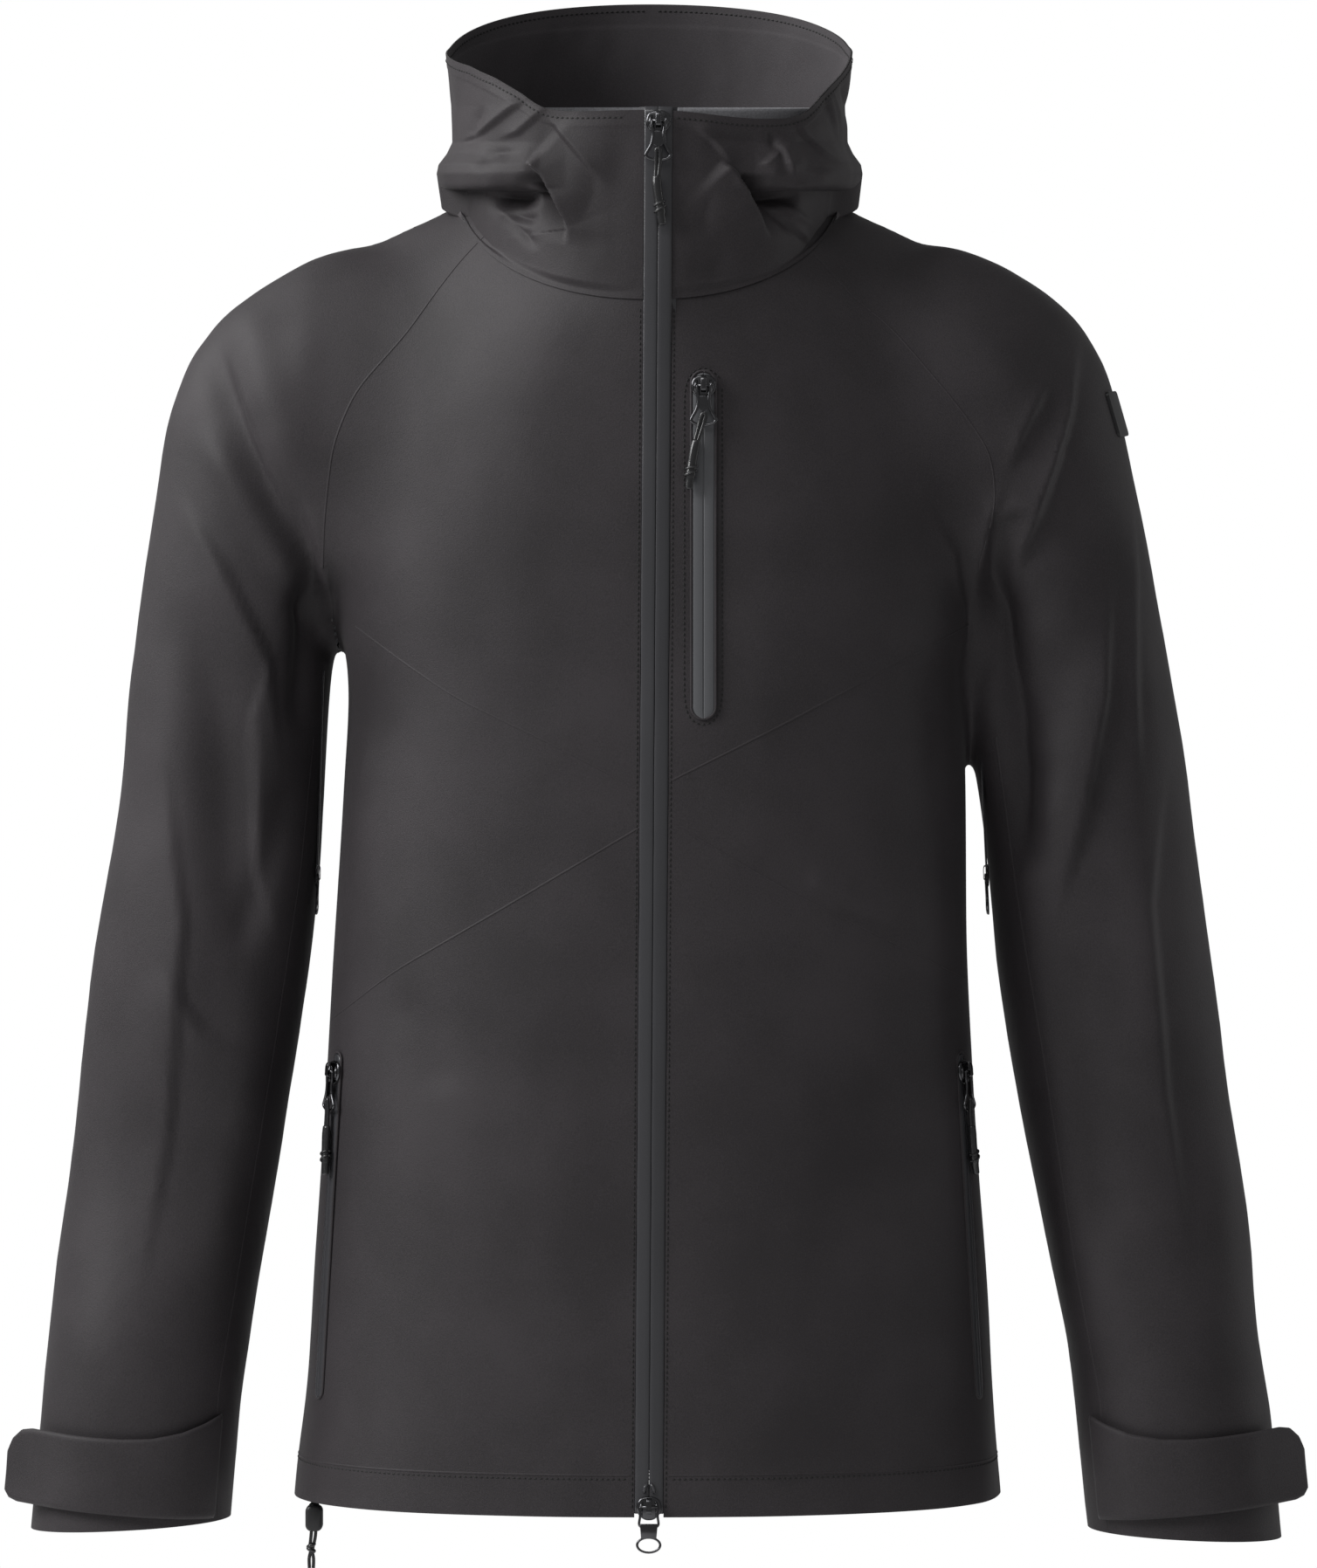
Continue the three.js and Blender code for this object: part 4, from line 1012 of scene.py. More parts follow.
def collar_lining():
    """The brushed lining that stands inside the collar and shows over its dipped edge."""
    low, high, outward, degrees = hood_edges()
    turn = hood_turns()
    top = COLLAR_Z + 0.1135 * (high[:, 1] + 99) + 0.6
    top = np.where((turn < 0.14) & (degrees < 75), top - 7, top)
    foot = np.where(degrees > 90, 724, 738)
    rows = []
    for share in np.linspace(0, 1, LINING_ROWS):
        z = foot + (top - foot) * share
        row = (z - low[:, 2]) / np.maximum(high[:, 2] - low[:, 2], 1)
        ring = low + (high - low) * row[:, None]
        rows.append(ring - outward * LINING_INSET)
    # The sheet runs from one side of the front opening round the rear to the other.
    order = np.concatenate([np.nonzero(turn > 0.13)[0], np.nonzero(turn < -0.13)[0]])
    sheet = np.array([r[order] for r in rows])
    back = sheet - outward[order][None] * 0.8
    both = both_sides(grid_faces(LINING_ROWS, len(order)), LINING_ROWS * len(order))
    piece("collar_lining_cloth", np.vstack([sheet.reshape(-1, 3), back.reshape(-1, 3)]), both,
          "lining", "root", ["collar_lining"], "lining")


def centres(points, faces):
    return np.array([points[list(f)].mean(axis=0) for f in faces])


# ---- Zips ----

def main_axes():
    top = (ZIP_SLANT * ZIP_TOP, front_y(ZIP_TOP), ZIP_TOP)
    return zip_axes((0, FRONT_Y, 0), top, (0, -1, 0))


# The main zip tape's section: distance from the middle, and depth behind the front.
TAPE_PROFILE = [(0.06, 2.3), (0.06, -0.4), (0.22, -0.85), (0.7, -1.02), (2.4, -0.98), (4.8, -0.72),
                (6.6, -0.42), (7.4, -0.12), (7.68, 0.25), (7.7, 1.75), (10.3, 1.8), (10.3, 2.3)]


def tape_half(s):
    heights = np.linspace(2, ZIP_TOP - 0.5, 220)
    rings = []
    for z in heights:
        ripple = 0.40 * noise.noise(Vector((s * 5, 0, z / 38)))
        ripple += 0.14 * noise.noise(Vector((s * 9, 3, z / 11)))
        tilt = 0.10 * noise.noise(Vector((s * 2, 7, z / 60)))
        rings.append([(s * x, y + (ripple + tilt * x) * (y < 1), z) for x, y in TAPE_PROFILE])
    points, faces = capped_loft(rings)
    return points, faces if s < 0 else turned_over(faces)


def main_zip():
    axes = main_axes()
    for which, s in SIDE.items():
        piece(f"main_zip_tape_{which}", *in_frame(tape_half(s), axes), "tape", "root",
              [f"front_zip_tape_{which}"], "zip_tape")
    teeth = []
    for z in np.arange(20, ZIP_TOP - 3, 1.9):
        turn = [(-1.6, 1.3, z), (-0.5, 1.0, z + 0.3), (0.5, 1.0, z + 0.6), (1.6, 1.3, z + 0.9)]
        teeth.append(tube(turn, 0.42, 6))
    piece("main_zip_coil", *in_frame(merge(teeth), axes), "plastic", "root", ["front_zip_coil"], "coil")
    box = plate(rounded(9.5, 15, 1.2, 10), 1.05, 3.4, 0.5)
    rib = [tube([(s * 2.6, -1.1, 13), (s * 2.4, -1.35, 16), (s * 0.9, -1.2, 18.2)], 0.9, 10) for s in (-1, 1)]
    piece("main_zip_retainer", *in_frame(merge([box] + rib), axes), "tape", "root",
          ["front_zip_retainer"], "hardware")
    hardware("top", shifted(axes, z=ZIP_TOP - 9), 0.5, "bell", 0)
    hardware("bottom", shifted(axes, z=5), 0.5, "ring", None)


def rounded(width, height, radius, middle_z=0.0, steps=8):
    """A rounded rectangle as (x, z) points."""
    points = []
    for cx, cz, start in ((1, 1, 0), (-1, 1, 90), (-1, -1, 180), (1, -1, 270)):
        for k in range(steps + 1):
            a = math.radians(start + 90 * k / steps)
            points.append((cx * (width / 2 - radius) + radius * math.cos(a),
                           middle_z + cz * (height / 2 - radius) + radius * math.sin(a)))
    return points


HARDWARE_WIDTH = 1.15  # share of the drawn width


def slider_part(face):
    """The slider's domed body, its rim and the bridge over it."""
    outline = []
    for a in turn_angles(40):
        x, z = math.cos(a), math.sin(a)
        width = 5.9 if z > 0 else 5.9 - 1.7 * (-z) ** 1.5
        outline.append((width * math.copysign(abs(x) ** 0.75, x), 6.4 * math.copysign(abs(z) ** 0.85, z)))
    near = -face - 0.35
    body = plate(outline, near - 1.7, near + 0.2, 0.9)
    lobes = [tube([(s * 3.4, near - 1.6, -4), (s * 3.9, near - 1.9, 0), (s * 3.2, near - 1.8, 3.6)],
                  [0.5, 0.95, 0.5], 12) for s in (-1, 1)]
    arch = curve3([(0, near - 1.2, 5.3), (0, -5.2, 5.2), (0, -6.5, 3.6), (0, -6.7, 0), (0, -6.3, -2.0),
                   (0, near - 1.2, -2.9)], 7)
    bridge = ribbon(arch, (1, 0, 0), 1.25, 0.45)
    return merge([body, bridge] + lobes)


def ribbon(path, across, half_width, half_thick, sides=16, powers=(0.5, 0.5)):
    """A strap along a path, its width along a fixed direction; low powers make its section square."""
    across = np.array(across, float)
    over = np.cross(unit(np.gradient(path, axis=0)), across)
    angles = turn_angles(sides)
    c, s = np.cos(angles), np.sin(angles)
    u = half_width * np.sign(c) * np.abs(c) ** powers[0]
    v = half_thick * np.sign(s) * np.abs(s) ** powers[1]
    rings = [[p + across * a + o * b for a, b in zip(u, v)] for p, o in zip(path, over)]
    return outward_faces(capped_loft(rings))


def mirrored(half, middle):
    """An outline from its right half and its middle point."""
    return [(-x, z) for x, z in half] + [middle] + half[::-1]


def outward_faces(part):
    """Turns a closed part's faces round if they point inwards."""
    points, faces = part
    volume = sum(np.dot(points[f[0]], np.cross(points[f[i]], points[f[i + 1]]))
                 for f in faces for i in range(1, len(f) - 1))
    return part if volume > 0 else (points, turned_over(faces))


def bell_pull():
    """A pull that narrows under the bridge and flares to a crescent round the cord's hole."""
    y = -4.6
    half = [(2.9, 0.4), (2.9, -3), (2.5, -7.5), (3.3, -12.5), (5.6, -17.3), (5.7, -18.7), (4.0, -20.2)]
    path = curve3([(x, y + 0.5 * (z / -21) ** 2, z) for x, z in mirrored(half, (0, -21.0))], 5)
    frame_wire = tube(path, 0.8, 12)
    bar = tube([(-2.9, y, 0.4), (2.9, y, 0.4)], 0.7, 10)
    web_half = [(2.6, -5.2), (2.3, -8), (2.8, -12), (1.6, -13.2)]
    web = plate(mirrored(web_half, (0, -13.8)), y - 0.35, y + 0.35, 0.3)
    return merge([frame_wire, bar, web])


def ring_pull():
    """A flat pull with a window for the bridge and an oval ring at its end."""
    y = -4.3
    window = [(-4.0, y, 1), (-4.1, y, -4), (-3.9, y, -9.5), (3.9, y, -9.5), (4.1, y, -4), (4.0, y, 1)]
    frame_wire = tube(curve3(window, 6), 0.6, 10)
    bar = tube([(-4, y, 1), (4, y, 1)], 0.7, 10)
    web = plate([(-4.2, -8), (-3.6, -16), (3.6, -16), (4.2, -8)], y - 0.65, y + 0.65, 0.35)
    ring = [(5.4 * math.cos(a), y, -19.4 + 4.0 * math.sin(a)) for a in turn_angles(28)]
    return merge([frame_wire, bar, web, tube(ring, 0.6, 10, closed=True)])


def tilted_ring(x, y, z, radius, tilt):
    """A ring round a cord that slopes across it."""
    return [(x + radius * math.cos(a), y + radius * math.sin(a), z + tilt * radius * math.cos(a))
            for a in turn_angles(24)]


def cord_part(bow):
    """A doubled cord, a moulded grip with two slanting bands, and its tail."""
    y = -4.8
    strands = []
    for s in (-1, 1):
        path = curve3([(0, y - 0.6, 1.4), (s * 0.9, y - 0.6, 0.4), (s * 1.0, y - 0.2, -4),
                       (s * 0.85 + bow * 0.3, y, -9), (s * 0.7 + bow, y, -15)], 6)
        strands.append(tube(path, 0.92, 12))
    grip_path = curve3([(bow, y, -13.5), (bow * 0.9, y, -18), (bow * 0.4 + 0.3, y, -24), (0.9, y, -30),
                        (1.6, y, -36), (2.2, y, -40.3)], 8)
    share = np.linspace(0, 1, len(grip_path))
    radii = np.interp(share, [0, 0.05, 0.2, 0.45, 0.58, 0.62, 0.70, 0.74, 0.8, 0.97, 1],
                      [1.6, 2.1, 2.3, 2.2, 2.3, 2.4, 2.4, 2.1, 2.0, 1.85, 1.2])
    grip = tube(grip_path, radii, 20)
    bands = []
    for at, tilt in ((0.56, 0.55), (0.66, 0.75)):
        middle = grip_path[int(at * (len(grip_path) - 1))]
        bands.append(tube(tilted_ring(*middle, 2.5, tilt), 0.65, 8, closed=True))
    return merge(strands + [grip] + bands)


def hardware(prefix, axes, face, pull, lean, bow=-0.6, flat=1.0):
    """A slider, its pull and its cord if it leans at all, each on its own body."""
    origin, basis = axes
    axes = (origin, basis * np.array([HARDWARE_WIDTH, flat, 1])[:, None])
    slider = in_frame(slider_part(face), axes)
    piece(f"{prefix}_slider_cast", *slider, "metal", f"{prefix}_slider", [f"{prefix}_slider"], "hardware")
    part = in_frame(bell_pull() if pull == "bell" else ring_pull(), axes)
    piece(f"{prefix}_pull_cast", *part, "metal", f"{prefix}_pull", [f"{prefix}_pull"], "hardware")
    if lean is not None:
        cord = in_frame(cord_part(bow), shifted(axes, z=-16.0, lean=lean))
        piece(f"{prefix}_cord_grip", *cord, "cord", f"{prefix}_cord", [f"{prefix}_cord"], "cord")


def stadium_tape(length, width, lift):
    """A domed zip tape with round ends and a groove where its two halves meet."""
    half = width / 2
    side = [(1, 0.5), (0.96, 0.15), (0.85, -0.1), (0.5, -0.35), (0.12, -0.4), (0.05, -0.3)]
    dome = mirrored(side, (0, 0.35))
    round_end = half * (1 - np.cos(np.linspace(0.05, math.pi / 2, 10)))
    straight = np.linspace(half + 2, length - half - 2, 60)
    rows = []
    for z in np.concatenate([round_end, straight, length - round_end[::-1]]):
        end = min(z, length - z)
        width_here = half if end > half else math.sqrt(max(half ** 2 - (half - end) ** 2, 0.01))
        rows.append([(width_here * a, d - lift, z) for a, d in dome])
    return np.array(rows).reshape(-1, 3), turned_over(grid_faces(len(rows), len(dome)))


def lip_round(length, width, y, radius):
    """A rounded rim of cloth round a zip's opening."""
    outline = rounded(width, length, width / 2 - 0.01, length / 2, 10)
    return tube([(x, y, z) for x, z in outline], radius, 8, closed=True)


def chest_zip(tree):
    """Builds the chest zip and gives back the stitches round it."""
    foot, head = ((CHEST_ZIP["x"], front_y(z) + 0.25, z) for z in (CHEST_ZIP["bottom"], CHEST_ZIP["top"]))
    axes = zip_axes(foot, head, (0, -1, 0))
    length = CHEST_ZIP["top"] - CHEST_ZIP["bottom"]
    tape = stadium_tape(length, CHEST_ZIP["width"], 0.75)
    piece("chest_zip_tape_domed", *in_frame(tape, axes), "grey_tape", "root", ["chest_zip_tape"],
          "grey_zip_tape")
    rim = lip_round(length + 1.2, CHEST_ZIP["width"] + 1.2, -0.35, 0.8)
    piece("chest_zip_rim", *in_frame(rim, axes), "fabric", "root")
    hardware("chest", shifted(axes, z=length - 7.5), 0.5, "bell", math.radians(13), -0.2)
    outline = rounded(20.5, length + 9, 9, CHEST_ZIP["bottom"] + length / 2 - 1, 8)
    line = [(CHEST_ZIP["x"] - 0.3 + x, z) for x, z in outline]
    places, normals = on_surface(tree, line + line[:1], 2)
    return stitches(places, normals)


def hand_zip(which):
    mirror = np.array([SIDE[which], 1, 1])
    outward = mirror * (math.cos(HAND_TURN), -math.sin(HAND_TURN), 0)
    bottom, top = mirror * HAND_BOTTOM, mirror * HAND_TOP
    axes = zip_axes(bottom, top, outward)
    length = float(np.linalg.norm(top - bottom))
    piece(f"hand_{which}_tape_domed", *in_frame(stadium_tape(length, 9, 1.0), axes), "tape", "root",
          [f"hand_{which}_zip_tape"], "zip_tape")
    piece(f"hand_{which}_rim", *in_frame(lip_round(length + 1, 10.2, -0.4, 0.8), axes), "fabric", "root")
    hardware(f"hand_{which}", shifted(axes, z=length - 10), 0.8, "bell", 0, 0.3)


def spread(which, z):
    """How much farther out than the right sleeve a sleeve is at a height."""
    return LEFT_SPREAD * (SPREAD_FROM - z) / SPREAD_FROM if which == "left" else 0.0


def pit_zip(which):
    s = SIDE[which]
    low, high = ((s * (x + spread(which, z) - 0.8), -4, z) for x, z in (PIT_LOW, PIT_HIGH))
    axes = zip_axes(low, high, (-s, 0, 0))
    tape = in_frame(stadium_tape(136, 8, 1.1), shifted(axes, x=-s * 2.5))
    piece(f"pit_{which}_tape_domed", *tape, "tape", None, [f"pit_{which}_zip_tape"], "zip_tape", blend=which)
    hardware(f"pit_{which}", shifted(axes, z=22), 0.2, "bell", None, flat=0.42)


# ---- Cuffs ----

CUFF_HALF, CUFF_DEPTH, CUFF_X, CUFF_Z, CUFF_TILT = 55.0, 47.0, 286.3, 20.0, 0.0786
TAB_END = -72.5  # x of the tongue's end
TAB_TOP = ([-72, -70, -67, -62, -56, -20, -5, 12, 28, 40, 52],
           [-12, -2, 7, 12.5, 14, 14, 14.4, 16, 20, 25.5, 33])
TAB_LOW = ([-72, -70, -67, -62, 52], [-15, -22, -26, -27.5, -27.5])
TAB_ROWS = 26


def tab_path():
    """The tab's line round the cuff and its straight tongue, with the way outward at each point."""
    angles = np.radians(np.linspace(34, 134, 60))
    off = np.minimum(0.7 + np.linspace(0, 1, 60) * 8, 2.9) + 1.0
    path = np.column_stack(round_ring(-angles, CUFF_HALF + off, CUFF_DEPTH + off, 2.2))
    ahead = unit(path[-1] - path[-2])
    tongue = path[-1] + ahead * np.linspace(1.5, 34.5, 24)[:, None]
    path = np.vstack([path, tongue])
    normal = unit(np.column_stack([-np.gradient(path[:, 1]), np.gradient(path[:, 0])]))
    return path, normal * np.sign((normal * path).sum(axis=1))[:, None]


def tab_thickness(x, v, height):
    """Half the tab's thickness, which falls to nothing round its edge."""
    rim = min(v, 1 - v) * height + 0.02
    end = min(1.0, max(0.0, (x - TAB_END) / 1.6))
    inward = min(1.0, rim / 1.7) * end
    return 1.05 * math.sqrt(max(0.0, 1 - (1 - inward) ** 2))


def tab_sheet(s):
    """The tab's outer and inner faces as points, the outer first."""
    front, back = [], []
    for p, m in zip(*tab_path()):
        low, high = np.interp(p[0], *TAB_LOW), np.interp(p[0], *TAB_TOP)
        for v in np.linspace(0, 1, TAB_ROWS):
            z = low + (high - low) * v
            half = tab_thickness(p[0], v, high - low)
            pad = 0.35 * noise.noise(Vector((p[0] / 24, z / 20, s)))
            for side, way in ((front, 1), (back, -1)):
                x, y = p + m * (pad + way * half)
                side.append((-s * x, y, z))
    return np.array(front + back)


def cuff_tab(which):
    s = SIDE[which]
    turn = -s * math.atan(CUFF_TILT + spread(which, 0) / SPREAD_FROM)
    c, n = math.cos(turn), math.sin(turn)
    origin = np.array([s * (CUFF_X + spread(which, CUFF_Z)), 0, CUFF_Z])
    axes = (origin, np.array([(c, 0, -n), (0, 1, 0), (n, 0, c)]))
    points = tab_sheet(s)
    half = len(points) // 2
    faces = both_sides(grid_faces(half // TAB_ROWS, TAB_ROWS), half)
    if s > 0:
        faces = turned_over(faces)
    piece(f"cuff_tab_{which}_cloth", *in_frame((points, faces), axes), "fabric", f"cuff_tab_{which}",
          [f"cuff_tab_{which}"])
    for patch in ("cuff_loop_patch", "cuff_hook_patch"):
        paint(f"{patch}_{which}", "hook")


def paint(node, look):
    """Gives a CAD node a finish."""
    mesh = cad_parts[node].data
    mesh.materials.clear()
    mesh.materials.append(LOOKS[look])


# ---- Small parts ----

LOCK_X, LOCK_Y, LOCK_MIDDLE = -185.0, -30.0, -10.7


def hem_lock():
    """The cord lock, its button, and the knotted end of the hem's cord."""
    at = np.array([LOCK_X, LOCK_Y, 0])
    body = plate(rounded(9.5, 14.4, 3.4, LOCK_MIDDLE), -4.5, 4.5, 1.6)
    collar = tube([(0, 0, z) for z in (-2.6, -3.4, -4.2, -4.6)], [2.2, 2.9, 3.1, 2.9], 18)
    points, faces = merge([body, collar])
    piece("hem_lock_barrel", points + at, faces, "plastic", "hem_cord_lock", ["cord_lock_body"],
          "lock_plastic")
    depths = (0.2, -4.6, -7.4, -8.3, -8.6)
    points, faces = tube([(0, y, LOCK_MIDDLE) for y in depths], [2.6, 2.6, 2.6, 2.1, 1.0], 20)
    piece("hem_lock_knob", points + at, faces, "plastic", "cord_lock_button", ["cord_lock_button"],
          "lock_plastic")
    points, faces = knotted_cord()
    piece("hem_cord_knotted", points + at, faces, "cord", "hem_cord_lock", ["hem_cord"], "cord")


def knotted_cord():
    """The doubled end of the hem's cord, its knot, and the two tails below it."""
    strands, knots, tails = [], [], []
    for s in (-1, 1):
        strand = [(s * 0.9, 0, 6), (s * 1.0, 0, -8), (s * 1.2 - 0.5, 0, -20), (s * 0.9 - 1.6, 0, -27)]
        strands.append(tube(curve3(strand, 8), 0.95, 12))
        tail = [(-1.6, 0, -28), (-1.6 + s * 1.17, 0, -33), (-1.6 + s * 1.08, 0, -38.6)]
        tails.append(tube(curve3(tail, 6), 0.95, 12))
    for z, tilt in ((-26.0, 0.5), (-28.4, -0.5)):
        knots.append(tube(tilted_ring(-1.7, 0, z, 1.6, tilt), 1.15, 10, closed=True))
    core = tube([(-1.7, 0, -24.6), (-1.7, 0, -27), (-1.6, 0, -30)], [1.2, 2.0, 1.3], 12)
    return merge(strands + knots + [core] + tails)


def hanger():
    """The hanger loop inside the back of the neck."""
    path = curve3([(-26.5, 70, 684.5), (-26.8, 70, 692), (-25.5, 70, 699), (-20, 70, 701), (0, 70, 701.1),
                   (20, 70, 701), (25.5, 70, 699), (26.8, 70, 692), (26.5, 70, 684.5)], 10)
    strap = ribbon(path, (0, 1, 0), 3.4, 0.8, 20, (0.4, 0.7))
    piece("hanger_strap", *strap, "tape", "root", ["hanger_loop"], "lining")


def sleeve_patch(tree):
    """A plain tab on the outside of the left sleeve."""
    hit, normal, _, _ = tree.ray_cast(Vector((400, -2, 601)), Vector((-1, 0, 0)))
    hit, normal = np.array(hit), np.array(normal)
    up = unit(np.cross(normal, np.array([0, 1.0, 0])))
    up = up if up[2] > 0 else -up
    axes = zip_axes(hit - up * 13, hit + up * 13, normal)
    part = in_frame(plate(rounded(22, 26, 2.4, 13), -1.0, 3.0, 0.4), axes)
    piece("sleeve_badge_plain", *part, "plastic", None, ["sleeve_patch"], "patch", blend="left")


# Each pocket bag's width and height as spans of x and z.
BAGS = {
    "chest_pocket_bag": [(20, 128), (415, 600)],
    "hand_right_pocket_bag": [(-166, -45), (40, 240)],
    "hand_left_pocket_bag": [(45, 166), (40, 240)],
}


def pocket_bags(points, faces):
    normals = normals_of(points, faces)
    c = centres(points, faces)
    for name, ((x0, x1), (z0, z1)) in BAGS.items():
        middle_x, middle_z = (x0 + x1) / 2, (z0 + z1) / 2
        round_x = np.abs(c[:, 0] - middle_x) / (x1 - x0) * 2
        round_z = np.abs(c[:, 2] - middle_z) / (z1 - z0) * 2
        used, own = some_faces(faces, (round_x ** 6 + round_z ** 6 < 1) & (c[:, 1] < -20))
        p = points[used] - normals[used] * (CLOTH + 1.8)
        puff = waves(p, 40, 12.0)[:, None] * 0.8
        front, back = p + normals[used] * puff, p - normals[used] * (1.6 - puff)
        piece(f"{name}_cloth", np.vstack([front, back]), both_sides(own, len(p)), "lining", "root",
              [name], "lining")


# ---- Seams of the whole jacket ----

def seams(tree, chest_stitches):
    laps = []
    for which, s in SIDE.items():
        for seam in (CHEST_SEAM, WAIST_SEAM, RAGLAN):
            laps.append(lap(*on_surface(tree, seam[which], 2.5), s))
    laps += hem_ring(tree, lap_it=True)
    piece("seam_laps_body", *merge(laps), "fabric", "root")
    rows = [chest_stitches] + hem_ring(tree, lap_it=False)
    for s in (-1, 1):
        line = [(ZIP_SLANT * z + s * 9.1, z) for z in np.linspace(3, 655, 40)]
        rows.append(stitches(*on_surface(tree, line, 3)))
    piece("stitches_body", *merge(rows), "thread", "root")
    for which, s in SIDE.items():
        places, normals = on_surface(tree, UNDER_SEAM[which], 2.5)
        piece(f"seam_lap_sleeve_{which}", *lap(places, normals, s), "fabric", None, blend=which)


def hem_ring(tree, lap_it):
    """The hem's turned-up edge: its step and its stitches, round the body."""
    parts = []
    for s, a0, a1 in ((1, 3, 90), (1, 90, 177), (-1, 3, 90), (-1, 90, 177)):
        places, normals = [], []
        for a in np.radians(np.linspace(a0, a1, 90)):
            x, y = s * 200 * math.sin(a), -125 * math.cos(a)
            near, normal, _, _ = tree.find_nearest(Vector((x, y, HEM_TURN)))
            if abs(near.x) < GAP_X - 1:
                places.append(np.array(near))
                normals.append(np.array(normal))
        places, normals = np.array(places), unit(np.array(normals))
        places[:, 2] = HEM_TURN
        if lap_it:
            parts.append(lap(places, normals, s))
        else:
            parts.append(stitches(places - np.array([0, 0, 1.6]), normals))
    return parts


# ---- Materials ----

def noise_of(tree, place_at, scale, detail):
    """The strength of a noise texture that is fixed to the object's own space."""
    texture = tree.nodes.new("ShaderNodeTexNoise")
    texture.inputs["Scale"].default_value = scale
    texture.inputs["Detail"].default_value = detail
    tree.links.new(place_at.outputs["Object"], texture.inputs["Vector"])
    return texture.outputs["Fac"]


def reckoned(tree, operation, a, b):
    """The result of a sum or product of two sockets, or of a socket and a number."""
    node = tree.nodes.new("ShaderNodeMath")
    node.operation = operation
    tree.links.new(a, node.inputs[0])
    if isinstance(b, float):
        node.inputs[1].default_value = b
    else:
        tree.links.new(b, node.inputs[1])
    return node.outputs[0]


def mottled(tree, colour, mottle, share):
    """A colour that runs from a little darker to a little lighter."""
    ramp = tree.nodes.new("ShaderNodeValToRGB")
    for element, position, change in zip(ramp.color_ramp.elements, (0.38, 0.62), (-mottle, mottle)):
        element.position = position
        element.color = (*[c * (1 + change) for c in colour], 1)
    tree.links.new(share, ramp.inputs["Fac"])
    return ramp.outputs["Color"]


def look(name, colour, rough, sheen=0.0, metal=0.0, coat=0.0, grain=0.0, size=1400.0, mottle=0.0,
         specular=0.5):
    """A finish made of nodes: colour mottled at two scales, and a woven or speckled bump."""
    material = bpy.data.materials.new(name)
    material.use_nodes = True
    tree = material.node_tree
    shader = tree.nodes["Principled BSDF"]
    values = {
        "Roughness": rough, "Metallic": metal, "Specular IOR Level": specular,
        "Sheen Weight": sheen, "Sheen Roughness": 0.35, "Coat Weight": coat,
    }
    for key, value in values.items():
        shader.inputs[key].default_value = value
    place_at = tree.nodes.new("ShaderNodeTexCoord")
    speck = noise_of(tree, place_at, size, 2.0)
    broad = noise_of(tree, place_at, 14.0, 3.0)
    share = reckoned(tree, "MULTIPLY", reckoned(tree, "ADD", speck, broad), 0.5)
    tree.links.new(mottled(tree, colour, mottle, share), shader.inputs["Base Color"])
    if grain:
        bump = tree.nodes.new("ShaderNodeBump")
        bump.inputs["Strength"].default_value = grain
        bump.inputs["Distance"].default_value = 0.0003
        tree.links.new(speck, bump.inputs["Height"])
        tree.links.new(bump.outputs["Normal"], shader.inputs["Normal"])
    return material


LOOKS = {
    "fabric": look("Face fabric", (0.0305, 0.0268, 0.0294), 0.60, sheen=0.07, grain=0.45, mottle=0.26,
                   specular=0.30),
    "fabric_in": look("Fabric inside", (0.06, 0.06, 0.065), 0.85, sheen=0.1, grain=0.3, mottle=0.1,
                      specular=0.2),
    # The hood's inner face: its own lighter colour, raised further as painted light that stands in for light
    # falling into the shaded hollow of the hood.
    "hood_inside_lightened": look("Hood inside lightened as painted light", (0.058, 0.053, 0.057), 0.70, sheen=0.10, grain=0.35, mottle=0.16,
                        specular=0.25),
    "lining": look("Brushed lining", (0.15, 0.15, 0.16), 0.95, sheen=0.3, grain=0.6, size=900, mottle=0.25),
    "tape": look("Zip tape", (0.046, 0.046, 0.050), 0.25, grain=0.10, mottle=0.05, specular=0.45),
    "grey_tape": look("Grey zip tape", (0.085, 0.087, 0.093), 0.40, grain=0.10, mottle=0.05, specular=0.45),
    "metal": look("Black metal", (0.10, 0.10, 0.105), 0.20, metal=1.0, grain=0.04, mottle=0.05),
    "cord": look("Satin cord", (0.014, 0.014, 0.015), 0.26, coat=0.4, grain=0.2, size=2600, mottle=0.1),
    "plastic": look("Black plastic", (0.012, 0.012, 0.013), 0.42, grain=0.05, mottle=0.05),
    # Thread: its own dark colour, made darker still as painted shade that stands in for the shadow in the
    # stitch holes and their groove.
    "thread": look("Thread", (0.004, 0.0038, 0.004), 0.7, grain=0.2, mottle=0.1),
    "hook": look("Hook and loop", (0.02, 0.02, 0.02), 1.0, grain=1.0, size=2000, mottle=0.2),
}


# ---- Stage ----

def soft_light(name, place_at, size, power):
    """A soft rectangular light that shines at the jacket's middle."""
    data = bpy.data.lights.new(name, "AREA")
    data.shape = "RECTANGLE"
    data.size, data.size_y = size
    data.energy = power
    obj = bpy.data.objects.new(name, data)
    bpy.context.scene.collection.objects.link(obj)
    obj.location = place_at
    toward = Vector((0, -ORIGIN_DEPTH, HEM_LEVEL + MIDDLE_HEIGHT)) - Vector(place_at)
    obj.rotation_euler = toward.to_track_quat("-Z", "Y").to_euler()


def pale_floor():
    bpy.ops.mesh.primitive_plane_add(size=5.0, location=(0, 0, HEM_LEVEL - FLOOR_DROP))
    floor = bpy.context.object
    floor.name = "floor"
    floor.data.materials.append(look("Pale floor", (0.86, 0.86, 0.86), 0.9, mottle=0.01))


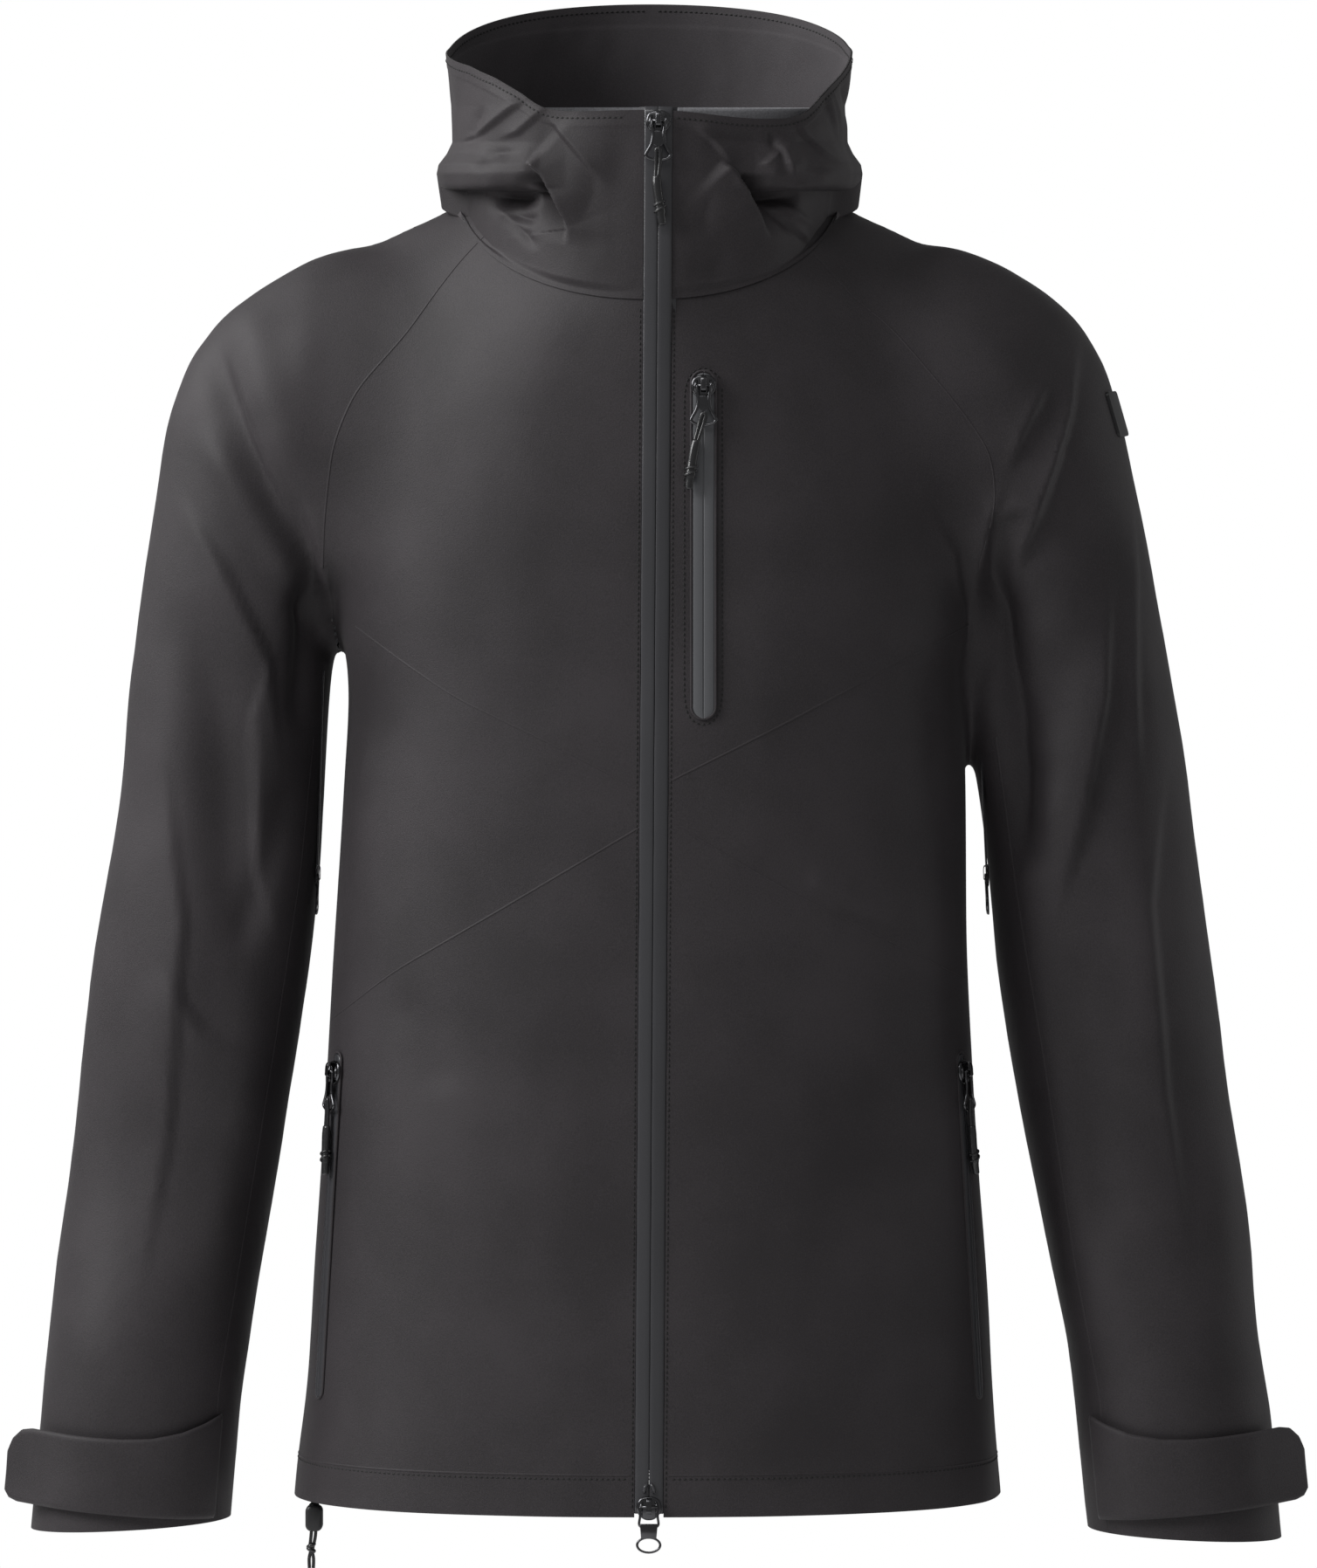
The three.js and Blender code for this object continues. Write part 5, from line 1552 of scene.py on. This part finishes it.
def white_surroundings():
    """A world that looks white and lights the jacket only a little."""
    world = bpy.data.worlds.new("studio")
    bpy.context.scene.world = world
    world.use_nodes = True
    nodes, links = world.node_tree.nodes, world.node_tree.links
    path = nodes.new("ShaderNodeLightPath")
    mix = nodes.new("ShaderNodeMixShader")
    links.new(path.outputs["Is Camera Ray"], mix.inputs["Fac"])
    for slot, background, strength in ((1, nodes["Background"], 0.20),
                                       (2, nodes.new("ShaderNodeBackground"), 1.0)):
        background.inputs["Color"].default_value = (1, 1, 1, 1)
        background.inputs["Strength"].default_value = strength
        links.new(background.outputs[0], mix.inputs[slot])
    links.new(mix.outputs[0], nodes["World Output"].inputs["Surface"])


def front_camera():
    camera = bpy.data.objects.new("camera", bpy.data.cameras.new("camera"))
    bpy.context.scene.collection.objects.link(camera)
    camera.location = tuple(place(VIEW))
    camera.rotation_euler = (math.pi / 2, 0, 0)
    camera.data.sensor_width = 36
    camera.data.lens = 136.5
    camera.data.clip_end = 50
    bpy.context.scene.camera = camera


def studio():
    pale_floor()
    white_surroundings()
    soft_light("key", (-2.5, -1.4, HEM_LEVEL + 2.1), (1.1, 1.8), 84)
    soft_light("left edge", (-2.1, 0.4, HEM_LEVEL + 2.0), (0.9, 2.0), 32)
    soft_light("right edge", (2.4, 0.5, HEM_LEVEL + 0.6), (0.6, 2.2), 7)
    soft_light("front top", (-0.8, -2.4, HEM_LEVEL + 2.8), (1.6, 0.9), 18)
    front_camera()
    bpy.context.scene.view_settings.view_transform = "Standard"


# ---- Assembly ----

skin, skin_faces = folded_skin()
skin_names = panel_names(centres(skin, skin_faces))
bends = {f"{part}_{which}": which for which in SIDE for part in ("shoulder", "sleeve", "under_sleeve")}
cloth_pieces(skin, skin_faces, skin_names, "fabric", "fabric_in", bends)
skin_tree = tree_of(skin, skin_faces)
build_hood(skin_tree)
main_zip()
chest_rows = chest_zip(skin_tree)
for which in SIDE:
    hand_zip(which)
    pit_zip(which)
    cuff_tab(which)
seams(skin_tree, chest_rows)
pocket_bags(skin, skin_faces)
hem_lock()
hanger()
sleeve_patch(skin_tree)
studio()
